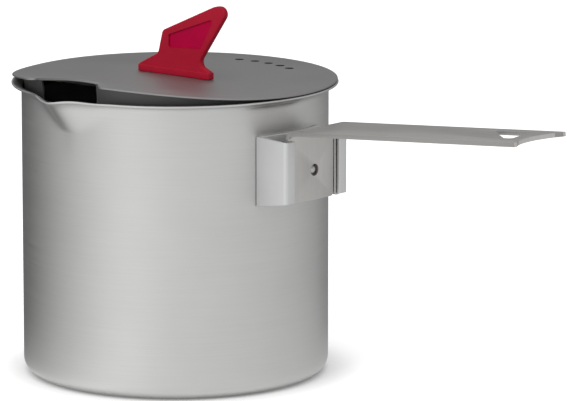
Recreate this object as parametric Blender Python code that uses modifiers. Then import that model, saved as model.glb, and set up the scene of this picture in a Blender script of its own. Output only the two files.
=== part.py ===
"""Solo camping pot, about one litre.

A drawn pot with a pour spout, a pressed lid that curls up over the spout and carries a
silicone tab, and a strip handle that drops into a riveted channel and snaps onto a leaf
spring. Metres, +Z up. The origin is the centre of the base, the handle points to +X and
the spout to -Y.
"""

import math

import bmesh
import bpy
from mathutils import Vector

MM = 0.001

# Fits
CLEARANCE = 0.3 * MM
WELD = 0.01 * MM

# How far a cutter reaches through a sheet, both sides together
CUT_THROUGH = 12.0 * MM

# Pot
BODY_RADIUS = 57.5 * MM
POT_SHEET = 0.8 * MM
POT_HEIGHT = 110.2 * MM
BASE_CORNER_RADIUS = 5.4 * MM
LIP_REACH = 3.7 * MM
LIP_FILLET = 3.0 * MM

# Spout: how far the lip runs out, how wide it is, and where it fades into the wall
SPOUT_AZIMUTH = math.radians(-90.0)
SPOUT_REACH = 10.2 * MM
SPOUT_SPREAD = math.radians(12.3)
SPOUT_DEPTH = 13.0 * MM
SPOUT_FOOT_SHARE = 0.25
SPOUT_FADE_POWER = 1.1
WAIST_DEPTH = 1.4 * MM
WAIST_ANGLE = math.radians(15.4)
WAIST_SPREAD = math.radians(7.9)
TIP_TRIM = 0.8 * MM
TIP_SPREAD = math.radians(8.0)
SHOULDER_RISE = 1.1 * MM
SHOULDER_ANGLE = math.radians(6.8)
SHOULDER_SPREAD = math.radians(5.2)

# Lid
LID_SHEET = 0.7 * MM
LID_INSET = 0.3 * MM
LID_CROWN = 0.7 * MM
SKIRT_STEP = 0.5 * MM
SKIRT_DEPTH = 6.0 * MM
SKIRT_TAPER = 0.3 * MM
VISOR_RISE = 5.2 * MM
VISOR_POWER = 2.3
VISOR_TURN = math.radians(4.0)
HOOD_RISE = 2.15 * MM
HOOD_WIDTH = 11.0 * MM
HOOD_TURN = math.radians(5.0)
HOOD_SPREAD = math.radians(20.4)
WINDOW_TURN = math.radians(-3.2)
WINDOW_ANGLE = math.radians(14.6)
WINDOW_SILL = 3.0 * MM
WINDOW_HEAD = 0.15 * MM
WINDOW_CORNER = 1.5 * MM
NOTCH_TURN = math.radians(-3.7)
NOTCH_ANGLE = math.radians(16.6)
NOTCH_CORNER = 4.0 * MM
STRAINER_COUNT = 5
STRAINER_DIAMETER = 3.5 * MM
STRAINER_INSET = 10.3 * MM
STRAINER_AZIMUTH = math.radians(82.1)
STRAINER_PITCH = math.radians(8.9)

# Lid tab: its side view runs along X from the lid's middle, and its heights are over the lid
TAB_THICKNESS = 2.4 * MM
TAB_HEIGHT = 27.7 * MM
TAB_EDGE = 0.7 * MM
TAB_BASE_THICKNESS = 3.2 * MM
TAB_BASE_BACK = 17.4 * MM
TAB_BASE_FRONT = 18.0 * MM
TAB_BASE_HEIGHT = 2.4 * MM
TAB_BASE_DRAFT = 0.3 * MM
TAB_BASE_EDGE = 0.4 * MM
TAB_FOOT_CORNER = 0.5 * MM
TAB_STRIP_HEIGHT = 2.7 * MM
TAB_STRIP_CORNER = 1.0 * MM
TAB_HEEL_REACH = 12.2 * MM
TAB_HEEL_HEIGHT = 5.0 * MM
TAB_HEEL_CORNER = 2.5 * MM
TAB_TIP_REACH = 28.1 * MM
TAB_TIP_CORNER = 2.8 * MM
TAB_TIP_LENGTH = 7.3 * MM
TAB_TIP_BACK_CORNER = 7.0 * MM
TAB_SHOULDER_REACH = 5.4 * MM
TAB_SHOULDER_HEIGHT = 16.3 * MM
TAB_SHOULDER_CORNER = 2.5 * MM
TAB_WAIST_REACH = 7.7 * MM
TAB_WAIST_HEIGHT = 7.4 * MM
TAB_WAIST_CORNER = 3.0 * MM
TAB_RECESS_DEPTH = 0.6 * MM
TAB_RECESS_BACK = 2.2 * MM
TAB_RECESS_BOTTOM = 10.1 * MM
TAB_RECESS_BACK_TOP = 15.0 * MM
TAB_RECESS_FRONT = 13.8 * MM
TAB_RECESS_LIFT = 0.8 * MM
TAB_RECESS_TIP_REACH = 20.4 * MM
TAB_RECESS_TIP_HEIGHT = 23.0 * MM
TAB_RECESS_CORNER = 0.8 * MM
TAB_NECK_LENGTH = 20.0 * MM
TAB_NECK_THICKNESS = 2.0 * MM
TAB_FOOT_LENGTH = 30.0 * MM
TAB_FOOT_WIDTH = 7.0 * MM
TAB_FOOT_THICKNESS = 1.5 * MM

# Handle bracket: its top hangs below the rim, and it is as wide as the handle needs
BRACKET_SHEET = 1.0 * MM
BRACKET_SIDE_PLAY = 1.6 * MM
BRACKET_REACH = 12.0 * MM
BRACKET_LIP = 5.0 * MM
BRACKET_CORNER = 1.4 * MM
BRACKET_DROP = 13.1 * MM
BRACKET_HEIGHT = 25.9 * MM
BRACKET_TOP_TAPER = 0.9 * MM
BRACKET_BOTTOM_TAPER = 2.2 * MM

# Handle: lifts are over the bracket's lower end, or its upper end for the arm
HANDLE_SHEET = 1.6 * MM
HANDLE_WIDTH = 29.8 * MM
LEG_LIFT = 1.7 * MM
LEG_CORNER = 1.4 * MM
BEND_RADIUS = 1.8 * MM
ARM_LIFT = 2.8 * MM
ARM_RISE = math.radians(4.43)
ARM_REACH = 113.8 * MM
LATCH_LIFT = 12.8 * MM
LATCH_HOLE = 4.4 * MM
SLIT_WIDTH = 0.6 * MM
SLIT_INSET = 3.9 * MM
SLIT_TOP = 22.0 * MM
SCOOP_DEPTH = 3.8 * MM
SCOOP_EDGE = 1.5 * MM
HANG_HOLE_END = 8.4 * MM
HANG_HOLE_LONG_SIDE = 16.7 * MM
HANG_HOLE_SHORT_SIDE = 3.5 * MM
HANG_HOLE_SKEW = 4.0 * MM
HANG_HOLE_EDGE = 4.2 * MM
HANG_HOLE_WIDTH = 16.1 * MM
HANG_HOLE_CORNER = 1.2 * MM

# Rivets and latch spring
RIVET_DIAMETER = 4.0 * MM
RIVET_HEAD_DIAMETER = 8.0 * MM
RIVET_HEAD_HEIGHT = 1.5 * MM
LOWER_RIVET_LIFT = 5.6 * MM
UPPER_RIVET_DROP = 5.3 * MM
SPRING_SHEET = 0.4 * MM
SPRING_WIDTH = 9.0 * MM
SPRING_FOOT_BELOW = 4.5 * MM
SPRING_FOOT_ABOVE = 4.5 * MM
SPRING_FLAT = 2.6 * MM
SPRING_LEAD_IN = 2.5 * MM
SPRING_BEND = 0.8 * MM
DIMPLE_DIAMETER = 3.8 * MM

# Facets
TURN_STEPS = 96
TURN_CROWDING = 0.4
RIVET_STEPS = 20
ARC_STEPS = 4
EDGE_STEPS = 2
CURVE_STEPS = 12
NOTCH_STEPS = 6
HOLE_SIDES = 16
STRAINER_SIDES = 12
SCOOP_SIDES = 64
WALL_RING_SHARES = (0.0, 0.3, 0.65)
PLATE_RING_SHARES = (0.25, 0.45, 0.62, 0.76, 0.88)

# Levels and radii that follow from the sizes above
POT_INNER_RADIUS = BODY_RADIUS - POT_SHEET
RIM_RADIUS = BODY_RADIUS + LIP_REACH
LIP_ARC_RADIUS = BODY_RADIUS + LIP_FILLET
LIP_ARC_HEIGHT = POT_HEIGHT - POT_SHEET - LIP_FILLET
SPOUT_FOOT = POT_HEIGHT - SPOUT_DEPTH
LID_RADIUS = RIM_RADIUS - LID_INSET
SKIRT_RADIUS = BODY_RADIUS - SKIRT_STEP
HOOD_START = SKIRT_RADIUS - HOOD_WIDTH
STRAINER_CIRCLE = SKIRT_RADIUS - STRAINER_INSET
LID_SEAT = POT_HEIGHT + CLEARANCE
SKIRT_BOTTOM = POT_HEIGHT - SKIRT_DEPTH
SKIRT_FIT_RADIUS = POT_INNER_RADIUS - CLEARANCE
LID_UNDERSIDE = LID_SEAT + LID_CROWN
LID_TOP = LID_UNDERSIDE + LID_SHEET
BRACKET_TOP = POT_HEIGHT - BRACKET_DROP
BRACKET_BOTTOM = BRACKET_TOP - BRACKET_HEIGHT
BRACKET_HALF_WIDTH = HANDLE_WIDTH / 2 + BRACKET_SIDE_PLAY + BRACKET_SHEET
BRACKET_BACK = BODY_RADIUS + CLEARANCE
BRACKET_BACK_FACE = BRACKET_BACK + BRACKET_SHEET
BRACKET_FRONT = BODY_RADIUS + BRACKET_REACH
LEG_FRONT = BRACKET_FRONT - BRACKET_SHEET - CLEARANCE
LEG_BACK = LEG_FRONT - HANDLE_SHEET
LEG_BOTTOM = BRACKET_BOTTOM + LEG_LIFT
ARM_HEIGHT = BRACKET_TOP + ARM_LIFT
ARM_END = BODY_RADIUS + ARM_REACH
LATCH_HEIGHT = BRACKET_BOTTOM + LATCH_LIFT
SCOOP_HALF_WIDTH = HANDLE_WIDTH / 2 - SCOOP_EDGE
LOWER_RIVET_HEIGHT = BRACKET_BOTTOM + LOWER_RIVET_LIFT
UPPER_RIVET_HEIGHT = BRACKET_TOP - UPPER_RIVET_DROP
SPRING_BACK = BRACKET_BACK_FACE + CLEARANCE
RIVET_HOLE = RIVET_DIAMETER + 2 * CLEARANCE


def clear_scene():
    """Removes every object, so that the script can be run again."""
    for obj in list(bpy.data.objects):
        bpy.data.objects.remove(obj)


def new_collection(name):
    collection = bpy.data.collections.new(name)
    bpy.context.scene.collection.children.link(collection)
    return collection


def material(name, color, metallic, roughness):
    """A Principled material with its colour, metal and roughness."""
    made = bpy.data.materials.new(name)
    made.use_nodes = True
    shader = made.node_tree.nodes["Principled BSDF"]
    shader.inputs["Base Color"].default_value = (*color, 1.0)
    shader.inputs["Metallic"].default_value = metallic
    shader.inputs["Roughness"].default_value = roughness
    return made


def arc(center, radius, start, end, steps=ARC_STEPS):
    """Points on an arc, both ends included. Angles are in degrees."""
    angles = [math.radians(start + (end - start) * i / steps) for i in range(steps + 1)]
    return [(center[0] + radius * math.cos(a), center[1] + radius * math.sin(a)) for a in angles]


def fillet(before, corner, after, radius, steps):
    """The arc that rounds one corner of a path."""
    corner = Vector(corner)
    back = (Vector(before) - corner).normalized()
    ahead = (Vector(after) - corner).normalized()
    half = back.angle(ahead) / 2
    center = corner + (back + ahead).normalized() * (radius / math.sin(half))
    start = corner + back * (radius / math.tan(half)) - center
    end = corner + ahead * (radius / math.tan(half)) - center
    turn = start.angle_signed(end)
    first = math.atan2(start.y, start.x)
    angles = [first - turn * i / steps for i in range(steps + 1)]
    return [(center.x + radius * math.cos(a), center.y + radius * math.sin(a)) for a in angles]


def rounded(corners, steps=ARC_STEPS):
    """A closed outline from corners (x, y, radius). A radius of 0 leaves the corner sharp."""
    outline = []
    for i, (x, y, radius) in enumerate(corners):
        before = corners[i - 1][:2]
        after = corners[(i + 1) % len(corners)][:2]
        outline += fillet(before, (x, y), after, radius, steps) if radius else [(x, y)]
    return outline


def bent_strip(path, sheet, radius, steps=ARC_STEPS):
    """The side outline of a sheet strip whose middle follows a path with equal bends."""
    middle = [Vector(path[0])]
    for before, corner, after in zip(path, path[1:], path[2:]):
        middle += [Vector(p) for p in fillet(before, corner, after, radius, steps)]
    middle.append(Vector(path[-1]))
    left = []
    right = []
    for i, point in enumerate(middle):
        way = middle[min(i + 1, len(middle) - 1)] - middle[max(i - 1, 0)]
        side = Vector((-way.y, way.x)).normalized() * (sheet / 2)
        left.append(point + side)
        right.append(point - side)
    return [tuple(p) for p in left + right[::-1]]


def to_mesh(obj):
    """Replaces an object by a plain mesh of what it evaluates to, with its caps welded."""
    collection = obj.users_collection[0]
    depsgraph = bpy.context.evaluated_depsgraph_get()
    mesh = bpy.data.meshes.new_from_object(obj.evaluated_get(depsgraph))
    shape = bmesh.new()
    shape.from_mesh(mesh)
    bmesh.ops.remove_doubles(shape, verts=shape.verts, dist=WELD)
    shape.to_mesh(mesh)
    shape.free()
    name = obj.name
    place = obj.matrix_world.copy()
    bpy.data.objects.remove(obj)
    plain = bpy.data.objects.new(name, mesh)
    collection.objects.link(plain)
    plain.matrix_world = place
    return plain


def turned(name, profile, collection, steps=TURN_STEPS):
    """A profile of (radius, height) turned about Z."""
    mesh = bpy.data.meshes.new(name)
    edges = [(i, i + 1) for i in range(len(profile) - 1)]
    mesh.from_pydata([(r, 0.0, z) for r, z in profile], edges, [])
    obj = bpy.data.objects.new(name, mesh)
    collection.objects.link(obj)
    screw = obj.modifiers.new("Turn", "SCREW")
    screw.steps = steps
    screw.render_steps = steps
    screw.use_merge_vertices = True
    screw.merge_threshold = WELD
    return to_mesh(obj)


def prism(name, outline, thickness, collection, plane="XY"):
    """A flat outline made solid, centred on its plane: XY, XZ or YZ."""
    curve = bpy.data.curves.new(name, "CURVE")
    curve.dimensions = "2D"
    curve.fill_mode = "BOTH"
    curve.extrude = thickness / 2
    spline = curve.splines.new("POLY")
    spline.points.add(len(outline) - 1)
    for point, (x, y) in zip(spline.points, outline):
        point.co = (x, y, 0.0, 1.0)
    spline.use_cyclic_u = True
    obj = bpy.data.objects.new(name, curve)
    collection.objects.link(obj)
    if plane == "XZ":
        obj.rotation_euler = (math.pi / 2, 0.0, 0.0)
    if plane == "YZ":
        obj.rotation_euler = (math.pi / 2, 0.0, math.pi / 2)
    bpy.context.view_layer.update()
    return to_mesh(obj)


def rod(name, diameter, length, collection, sides=HOLE_SIDES):
    """A cylinder along Z, centred on the origin."""
    mesh = bpy.data.meshes.new(name)
    shape = bmesh.new()
    bmesh.ops.create_cone(
        shape, cap_ends=True, segments=sides, radius1=diameter / 2, radius2=diameter / 2, depth=length
    )
    shape.to_mesh(mesh)
    shape.free()
    obj = bpy.data.objects.new(name, mesh)
    collection.objects.link(obj)
    return obj


def box(name, size, center, collection):
    """A box with its scale already in the mesh."""
    mesh = bpy.data.meshes.new(name)
    shape = bmesh.new()
    bmesh.ops.create_cube(shape, size=1.0)
    bmesh.ops.scale(shape, vec=size, verts=shape.verts)
    shape.to_mesh(mesh)
    shape.free()
    obj = bpy.data.objects.new(name, mesh)
    collection.objects.link(obj)
    obj.location = center
    return obj


def bevel(obj, width, segments=2):
    modifier = obj.modifiers.new("Bevel", "BEVEL")
    modifier.width = width
    modifier.segments = segments
    modifier.limit_method = "ANGLE"
    modifier.angle_limit = math.radians(50.0)


def combine(obj, other, operation):
    """A Boolean with a helper object, which stays out of sight."""
    other.hide_render = True
    other.display_type = "WIRE"
    modifier = obj.modifiers.new(other.name, "BOOLEAN")
    modifier.operation = operation
    modifier.solver = "EXACT"
    modifier.object = other


def finish(obj, surface):
    """Gives a piece its material and smooth round faces."""
    obj.data.materials.clear()
    obj.data.materials.append(surface)
    obj.data.shade_smooth()
    obj.data.set_sharp_from_angle(angle=math.radians(35.0))


def crowd_towards_spout(mesh):
    """Moves the turned columns closer together at the spout, where the shape changes most."""
    for vertex in mesh.vertices:
        radius = math.hypot(vertex.co.x, vertex.co.y)
        if radius < WELD:
            continue
        away = math.atan2(vertex.co.y, vertex.co.x) - SPOUT_AZIMUTH
        azimuth = SPOUT_AZIMUTH + away - TURN_CROWDING * math.sin(away)
        vertex.co.x = radius * math.cos(azimuth)
        vertex.co.y = radius * math.sin(azimuth)


def bump(value, middle, spread):
    """A smooth bump that is 1 at its middle."""
    return math.exp(-(((value - middle) / spread) ** 2))


def press_spout(mesh):
    """Presses the spout out of the wall and the lip of the turned pot."""
    for vertex in mesh.vertices:
        radius = math.hypot(vertex.co.x, vertex.co.y)
        if vertex.co.z <= SPOUT_FOOT:
            continue
        azimuth = math.atan2(vertex.co.y, vertex.co.x)
        away = abs(math.remainder(azimuth - SPOUT_AZIMUTH, math.tau))
        fade = (vertex.co.z - SPOUT_FOOT) / SPOUT_DEPTH
        lip = max(0.0, (radius - BODY_RADIUS) / LIP_REACH)
        spread = SPOUT_SPREAD * (SPOUT_FOOT_SHARE + (1 - SPOUT_FOOT_SHARE) * fade)
        reach = SPOUT_REACH * fade**SPOUT_FADE_POWER * bump(away, 0.0, spread)
        waist = WAIST_DEPTH * lip * bump(away, WAIST_ANGLE, WAIST_SPREAD)
        trim = TIP_TRIM * lip * bump(away, 0.0, TIP_SPREAD)
        rise = SHOULDER_RISE * fade**3 * bump(away, SHOULDER_ANGLE, SHOULDER_SPREAD)
        pressed = radius + reach - waist - trim
        vertex.co.x = pressed * math.cos(azimuth)
        vertex.co.y = pressed * math.sin(azimuth)
        vertex.co.z += rise


def pot_profile():
    """The pot's section, up the inside, over the lip and down the outside."""
    corner = BASE_CORNER_RADIUS
    floor = POT_SHEET
    inner_corner = corner - POT_SHEET
    rings = [SPOUT_FOOT + (LIP_ARC_HEIGHT - SPOUT_FOOT) * share for share in WALL_RING_SHARES]
    lip_center = (LIP_ARC_RADIUS, LIP_ARC_HEIGHT)
    edge_center = (RIM_RADIUS - POT_SHEET / 2, POT_HEIGHT - POT_SHEET / 2)
    profile = [(0.0, floor)]
    profile += arc((POT_INNER_RADIUS - inner_corner, floor + inner_corner), inner_corner, -90, 0)
    profile += [(POT_INNER_RADIUS, z) for z in rings]
    profile += arc(lip_center, LIP_FILLET + POT_SHEET, 180, 90)
    profile += arc(edge_center, POT_SHEET / 2, 90, -90)
    profile += arc(lip_center, LIP_FILLET, 90, 180)
    profile += [(BODY_RADIUS, z) for z in reversed(rings)]
    profile += arc((BODY_RADIUS - corner, corner), corner, 0, -90)
    profile += [(0.0, 0.0)]
    return profile


def rivet_cutter(name, height, cutters):
    """A hole through the wall and the bracket for one rivet."""
    cutter = rod(name, RIVET_HOLE, CUT_THROUGH, cutters)
    cutter.location = (BODY_RADIUS, 0.0, height)
    cutter.rotation_euler = (0.0, math.pi / 2, 0.0)
    return cutter


def make_pot_body(parts, cutters, surface):
    pot = turned("pot_body", pot_profile(), parts)
    crowd_towards_spout(pot.data)
    press_spout(pot.data)
    for name, height in (("lower", LOWER_RIVET_HEIGHT), ("upper", UPPER_RIVET_HEIGHT)):
        combine(pot, rivet_cutter(f"pot_{name}_rivet_hole", height, cutters), "DIFFERENCE")
    finish(pot, surface)
    return pot


def crown(radius):
    """How far the lid's plate stands above its flange."""
    return LID_CROWN * (1 - (radius / SKIRT_RADIUS) ** 2)


def lid_lift(radius, azimuth):
    """How far the lid's sheet is pressed up at a point: a visor, and a hood at the window."""
    toward_spout = radius * math.cos(azimuth - SPOUT_AZIMUTH - VISOR_TURN)
    visor = VISOR_RISE * max(0.0, toward_spout / LID_RADIUS) ** VISOR_POWER
    rising = (radius - HOOD_START) / (SKIRT_RADIUS - HOOD_START)
    falling = (LID_RADIUS - radius) / (LID_RADIUS - SKIRT_RADIUS)
    share = max(0.0, min(rising, falling, 1.0))
    away = math.remainder(azimuth - SPOUT_AZIMUTH, math.tau)
    return visor + HOOD_RISE * share * bump(away, HOOD_TURN, HOOD_SPREAD)


def lid_profile():
    """The lid's section, from under its middle round the skirt and flange to its top."""
    rings = [SKIRT_RADIUS * share for share in PLATE_RING_SHARES]
    skirt_top = SKIRT_RADIUS - LID_SHEET
    inner_fit = SKIRT_FIT_RADIUS - LID_SHEET
    half = LID_SHEET / 2
    profile = [(0.0, LID_UNDERSIDE)]
    profile += [(r, LID_SEAT + crown(r)) for r in rings]
    profile += [(skirt_top, LID_SEAT + crown(skirt_top))]
    profile += [(inner_fit, LIP_ARC_HEIGHT), (inner_fit - SKIRT_TAPER, SKIRT_BOTTOM)]
    profile += [(SKIRT_FIT_RADIUS - SKIRT_TAPER, SKIRT_BOTTOM), (SKIRT_FIT_RADIUS, LIP_ARC_HEIGHT)]
    profile += [(SKIRT_RADIUS, LID_SEAT)]
    profile += arc((LID_RADIUS - half, LID_SEAT + half), half, -90, 90, EDGE_STEPS)
    profile += [(SKIRT_RADIUS, LID_SEAT + LID_SHEET)]
    profile += [(r, LID_SEAT + LID_SHEET + crown(r)) for r in reversed(rings)]
    profile += [(0.0, LID_TOP)]
    return profile[::-1]


def curl_visor(mesh):
    """Curls up the lid's spout side. The skirt stretches with it and keeps its lower edge."""
    for vertex in mesh.vertices:
        radius = math.hypot(vertex.co.x, vertex.co.y)
        azimuth = math.atan2(vertex.co.y, vertex.co.x)
        share = (vertex.co.z - SKIRT_BOTTOM) / (LID_SEAT - SKIRT_BOTTOM)
        vertex.co.z += lid_lift(radius, azimuth) * min(1.0, share)


def split_across(mesh, places):
    """Splits a mesh's faces at places along its local X, so that it can bend there."""
    shape = bmesh.new()
    shape.from_mesh(mesh)
    for x in places:
        parts = shape.verts[:] + shape.edges[:] + shape.faces[:]
        bmesh.ops.bisect_plane(shape, geom=parts, plane_co=(x, 0.0, 0.0), plane_no=(1.0, 0.0, 0.0))
    shape.to_mesh(mesh)
    shape.free()


def window_head(radius, azimuth):
    """The level just under the lid's plate, up to which the pour window opens."""
    return LID_SEAT + crown(radius) + lid_lift(radius, azimuth) - WINDOW_HEAD


def make_window_cutter(cutters):
    """The pour window's cutter: a block wrapped round the skirt, its top under the plate."""
    inside = SKIRT_FIT_RADIUS - LID_SHEET - SKIRT_TAPER - CLEARANCE
    outside = SKIRT_RADIUS + CLEARANCE
    middle = SPOUT_AZIMUTH + WINDOW_TURN
    half = WINDOW_ANGLE * SKIRT_RADIUS
    sill = POT_HEIGHT - WINDOW_SILL
    heads = []
    for i in range(CURVE_STEPS + 1):
        along = half * (1 - 2 * i / CURVE_STEPS)
        corner = WINDOW_CORNER if i in (0, CURVE_STEPS) else 0
        heads.append((along, window_head(inside, middle + along / SKIRT_RADIUS), corner))
    corners = [(-half, sill, WINDOW_CORNER), (half, sill, WINDOW_CORNER)] + heads
    cutter = prism("lid_window", rounded(corners), outside - inside, cutters, "XZ")
    split_across(cutter.data, [along for along, _, _ in heads[1:-1]])
    for vertex in cutter.data.vertices:
        # The prism lies in its local XY plane: X runs along the skirt, Y up, Z outwards.
        azimuth = middle + vertex.co.x / SKIRT_RADIUS
        radius = (inside + outside) / 2 + vertex.co.z
        stretch = (window_head(radius, azimuth) - sill) / (window_head(inside, azimuth) - sill)
        level = sill + (vertex.co.y - sill) * stretch
        vertex.co = (radius * math.cos(azimuth), level, -radius * math.sin(azimuth))
    return cutter


def notch_outline():
    """The piece of flange that is cut away over the pour window, its corners rounded."""
    inner = SKIRT_RADIUS + CLEARANCE
    outer = LID_RADIUS + CUT_THROUGH
    flare = NOTCH_CORNER / LID_RADIUS
    side = []
    for i in range(ARC_STEPS + 1):
        turn = math.pi / 2 * i / ARC_STEPS
        radius = inner + (LID_RADIUS - inner) * math.sin(turn)
        side.append((radius, NOTCH_ANGLE + flare * (1 - math.cos(turn))))
    side.append((outer, NOTCH_ANGLE + flare))
    inner_arc = [(inner, NOTCH_ANGLE * i / NOTCH_STEPS) for i in range(1 - NOTCH_STEPS, NOTCH_STEPS)]
    polar = [(r, -a) for r, a in reversed(side)] + inner_arc + side
    middle = SPOUT_AZIMUTH + NOTCH_TURN
    return [(r * math.cos(middle + a), r * math.sin(middle + a)) for r, a in polar]


def make_lid(parts, cutters, surface):
    lid = turned("lid", lid_profile(), parts)
    crowd_towards_spout(lid.data)
    curl_visor(lid.data)

    combine(lid, make_window_cutter(cutters), "DIFFERENCE")

    notch = prism("lid_notch", notch_outline(), CUT_THROUGH, cutters)
    notch.location.z = LID_SEAT + lid_lift(LID_RADIUS, SPOUT_AZIMUTH)
    combine(lid, notch, "DIFFERENCE")

    slot_size = (TAB_NECK_LENGTH + 2 * CLEARANCE, TAB_NECK_THICKNESS + 2 * CLEARANCE, CUT_THROUGH)
    combine(lid, box("lid_tab_slot", slot_size, (0.0, 0.0, LID_TOP), cutters), "DIFFERENCE")

    for i in range(STRAINER_COUNT):
        azimuth = STRAINER_AZIMUTH + STRAINER_PITCH * (i - (STRAINER_COUNT - 1) / 2)
        name = f"lid_strainer_hole_{i + 1}"
        hole = rod(name, STRAINER_DIAMETER, CUT_THROUGH, cutters, STRAINER_SIDES)
        hole.location = (
            STRAINER_CIRCLE * math.cos(azimuth),
            STRAINER_CIRCLE * math.sin(azimuth),
            LID_TOP,
        )
        combine(lid, hole, "DIFFERENCE")
    finish(lid, surface)
    return lid


def tab_outline(bottom):
    """The tab's side view: a base strip, a neck and a grip that leans towards the handle."""
    top = bottom + TAB_HEIGHT
    strip_top = bottom + TAB_STRIP_HEIGHT
    corners = [
        (-TAB_BASE_BACK, bottom, TAB_FOOT_CORNER),
        (TAB_BASE_FRONT, bottom, TAB_FOOT_CORNER),
        (TAB_BASE_FRONT - TAB_BASE_DRAFT, strip_top, TAB_STRIP_CORNER),
        (TAB_HEEL_REACH, bottom + TAB_HEEL_HEIGHT, TAB_HEEL_CORNER),
        (TAB_TIP_REACH, top, TAB_TIP_CORNER),
        (TAB_TIP_REACH - TAB_TIP_LENGTH, top, TAB_TIP_BACK_CORNER),
        (-TAB_SHOULDER_REACH, bottom + TAB_SHOULDER_HEIGHT, TAB_SHOULDER_CORNER),
        (-TAB_WAIST_REACH, bottom + TAB_WAIST_HEIGHT, TAB_WAIST_CORNER),
        (-TAB_BASE_BACK + TAB_BASE_DRAFT, strip_top, TAB_STRIP_CORNER),
    ]
    return rounded(corners)


def make_lid_tab(parts, cutters, surface):
    bottom = LID_TOP + CLEARANCE
    tab = prism("lid_tab", tab_outline(bottom), TAB_THICKNESS, parts, "XZ")
    bevel(tab, TAB_EDGE)

    base_length = TAB_BASE_FRONT + TAB_BASE_BACK
    base_middle = (TAB_BASE_FRONT - TAB_BASE_BACK) / 2
    base = box(
        "tab_base",
        (base_length, TAB_BASE_THICKNESS, TAB_BASE_HEIGHT),
        (base_middle, 0.0, bottom + TAB_BASE_HEIGHT / 2),
        cutters,
    )
    bevel(base, TAB_BASE_EDGE)
    combine(tab, base, "UNION")

    # The neck goes through the slot in the lid and holds the foot against its underside.
    foot_top = LID_UNDERSIDE - 2 * CLEARANCE
    neck_top = bottom + TAB_BASE_HEIGHT / 2
    neck_bottom = foot_top - TAB_FOOT_THICKNESS / 2
    neck = box(
        "tab_neck",
        (TAB_NECK_LENGTH, TAB_NECK_THICKNESS, neck_top - neck_bottom),
        (0.0, 0.0, (neck_top + neck_bottom) / 2),
        cutters,
    )
    combine(tab, neck, "UNION")
    foot = box(
        "tab_foot",
        (TAB_FOOT_LENGTH, TAB_FOOT_WIDTH, TAB_FOOT_THICKNESS),
        (0.0, 0.0, foot_top - TAB_FOOT_THICKNESS / 2),
        cutters,
    )
    bevel(foot, TAB_BASE_EDGE)
    combine(tab, foot, "UNION")

    recess_corners = [
        (-TAB_RECESS_BACK, bottom + TAB_RECESS_BOTTOM),
        (TAB_RECESS_FRONT, bottom + TAB_RECESS_BOTTOM + TAB_RECESS_LIFT),
        (TAB_RECESS_TIP_REACH, bottom + TAB_RECESS_TIP_HEIGHT),
        (-TAB_RECESS_BACK, bottom + TAB_RECESS_BACK_TOP),
    ]
    recess_outline = rounded([(*corner, TAB_RECESS_CORNER) for corner in recess_corners])
    for side, name in ((-1, "tab_recess_front"), (1, "tab_recess_back")):
        recess = prism(name, recess_outline, 2 * TAB_RECESS_DEPTH, cutters, "XZ")
        recess.location.y = side * TAB_THICKNESS / 2
        combine(tab, recess, "DIFFERENCE")
    finish(tab, surface)
    return tab


def bracket_outline():
    """The bracket's section from above: a back on the wall, two sides and two front lips."""
    wide = BRACKET_HALF_WIDTH
    narrow = wide - BRACKET_SHEET
    lip = wide - BRACKET_LIP
    front = BRACKET_FRONT
    lip_back = front - BRACKET_SHEET

    def against_wall(radius, half_width):
        limit = math.degrees(math.asin(half_width / radius))
        return arc((0.0, 0.0), radius, -limit, limit, CURVE_STEPS)

    front_right = fillet((0.0, wide), (front, wide), (front, 0.0), BRACKET_CORNER, ARC_STEPS)
    front_left = [(x, -y) for x, y in reversed(front_right)]
    outline = against_wall(BRACKET_BACK, wide)
    outline += front_right
    outline += [(front, lip), (lip_back, lip), (lip_back, narrow)]
    outline += list(reversed(against_wall(BRACKET_BACK_FACE, narrow)))
    outline += [(lip_back, -narrow), (lip_back, -lip), (front, -lip)]
    outline += front_left
    return outline


def make_handle_bracket(parts, cutters, surface):
    height = BRACKET_TOP - BRACKET_BOTTOM
    bracket = prism("handle_bracket", bracket_outline(), height, parts)
    middle = (BRACKET_TOP + BRACKET_BOTTOM) / 2
    # The channel is a little lower at the front than on the wall.
    for vertex in bracket.data.vertices:
        share = max(0.0, (vertex.co.x - BRACKET_BACK) / (BRACKET_FRONT - BRACKET_BACK))
        taper = -BRACKET_TOP_TAPER if vertex.co.z > 0 else BRACKET_BOTTOM_TAPER
        vertex.co.z += middle + share * taper
    for name, level in (("lower", LOWER_RIVET_HEIGHT), ("upper", UPPER_RIVET_HEIGHT)):
        combine(bracket, rivet_cutter(f"bracket_{name}_rivet_hole", level, cutters), "DIFFERENCE")
    finish(bracket, surface)
    return bracket


def leg_corner_cutter(name, edge, inward, cutters):
    """Rounds one lower corner of the leg. The material lies inward (+1 or -1) of the edge."""
    radius = LEG_CORNER
    spare = SLIT_WIDTH / 3
    outside = edge - inward * spare
    middle = edge + inward * radius
    outline = [(outside, LEG_BOTTOM - spare), (middle, LEG_BOTTOM - spare)]
    outline += arc((middle, LEG_BOTTOM + radius), radius, 270, 270 - 90 * inward)
    outline += [(outside, LEG_BOTTOM + radius)]
    cutter = prism(name, outline, CUT_THROUGH, cutters, "YZ")
    cutter.location.x = LEG_FRONT - HANDLE_SHEET / 2
    return cutter


def hang_hole_outline():
    """The three-cornered hang hole, its long side along the arm's left edge."""
    right = ARM_END - HANG_HOLE_END
    left_edge = HANDLE_WIDTH / 2 - HANG_HOLE_EDGE
    near_edge = left_edge - HANG_HOLE_WIDTH
    corners = [
        (right - HANG_HOLE_SHORT_SIDE, near_edge),
        (right, near_edge),
        (right - HANG_HOLE_SKEW, left_edge),
        (right - HANG_HOLE_SKEW - HANG_HOLE_LONG_SIDE, left_edge),
    ]
    return rounded([(*corner, HANG_HOLE_CORNER) for corner in corners])


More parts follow.
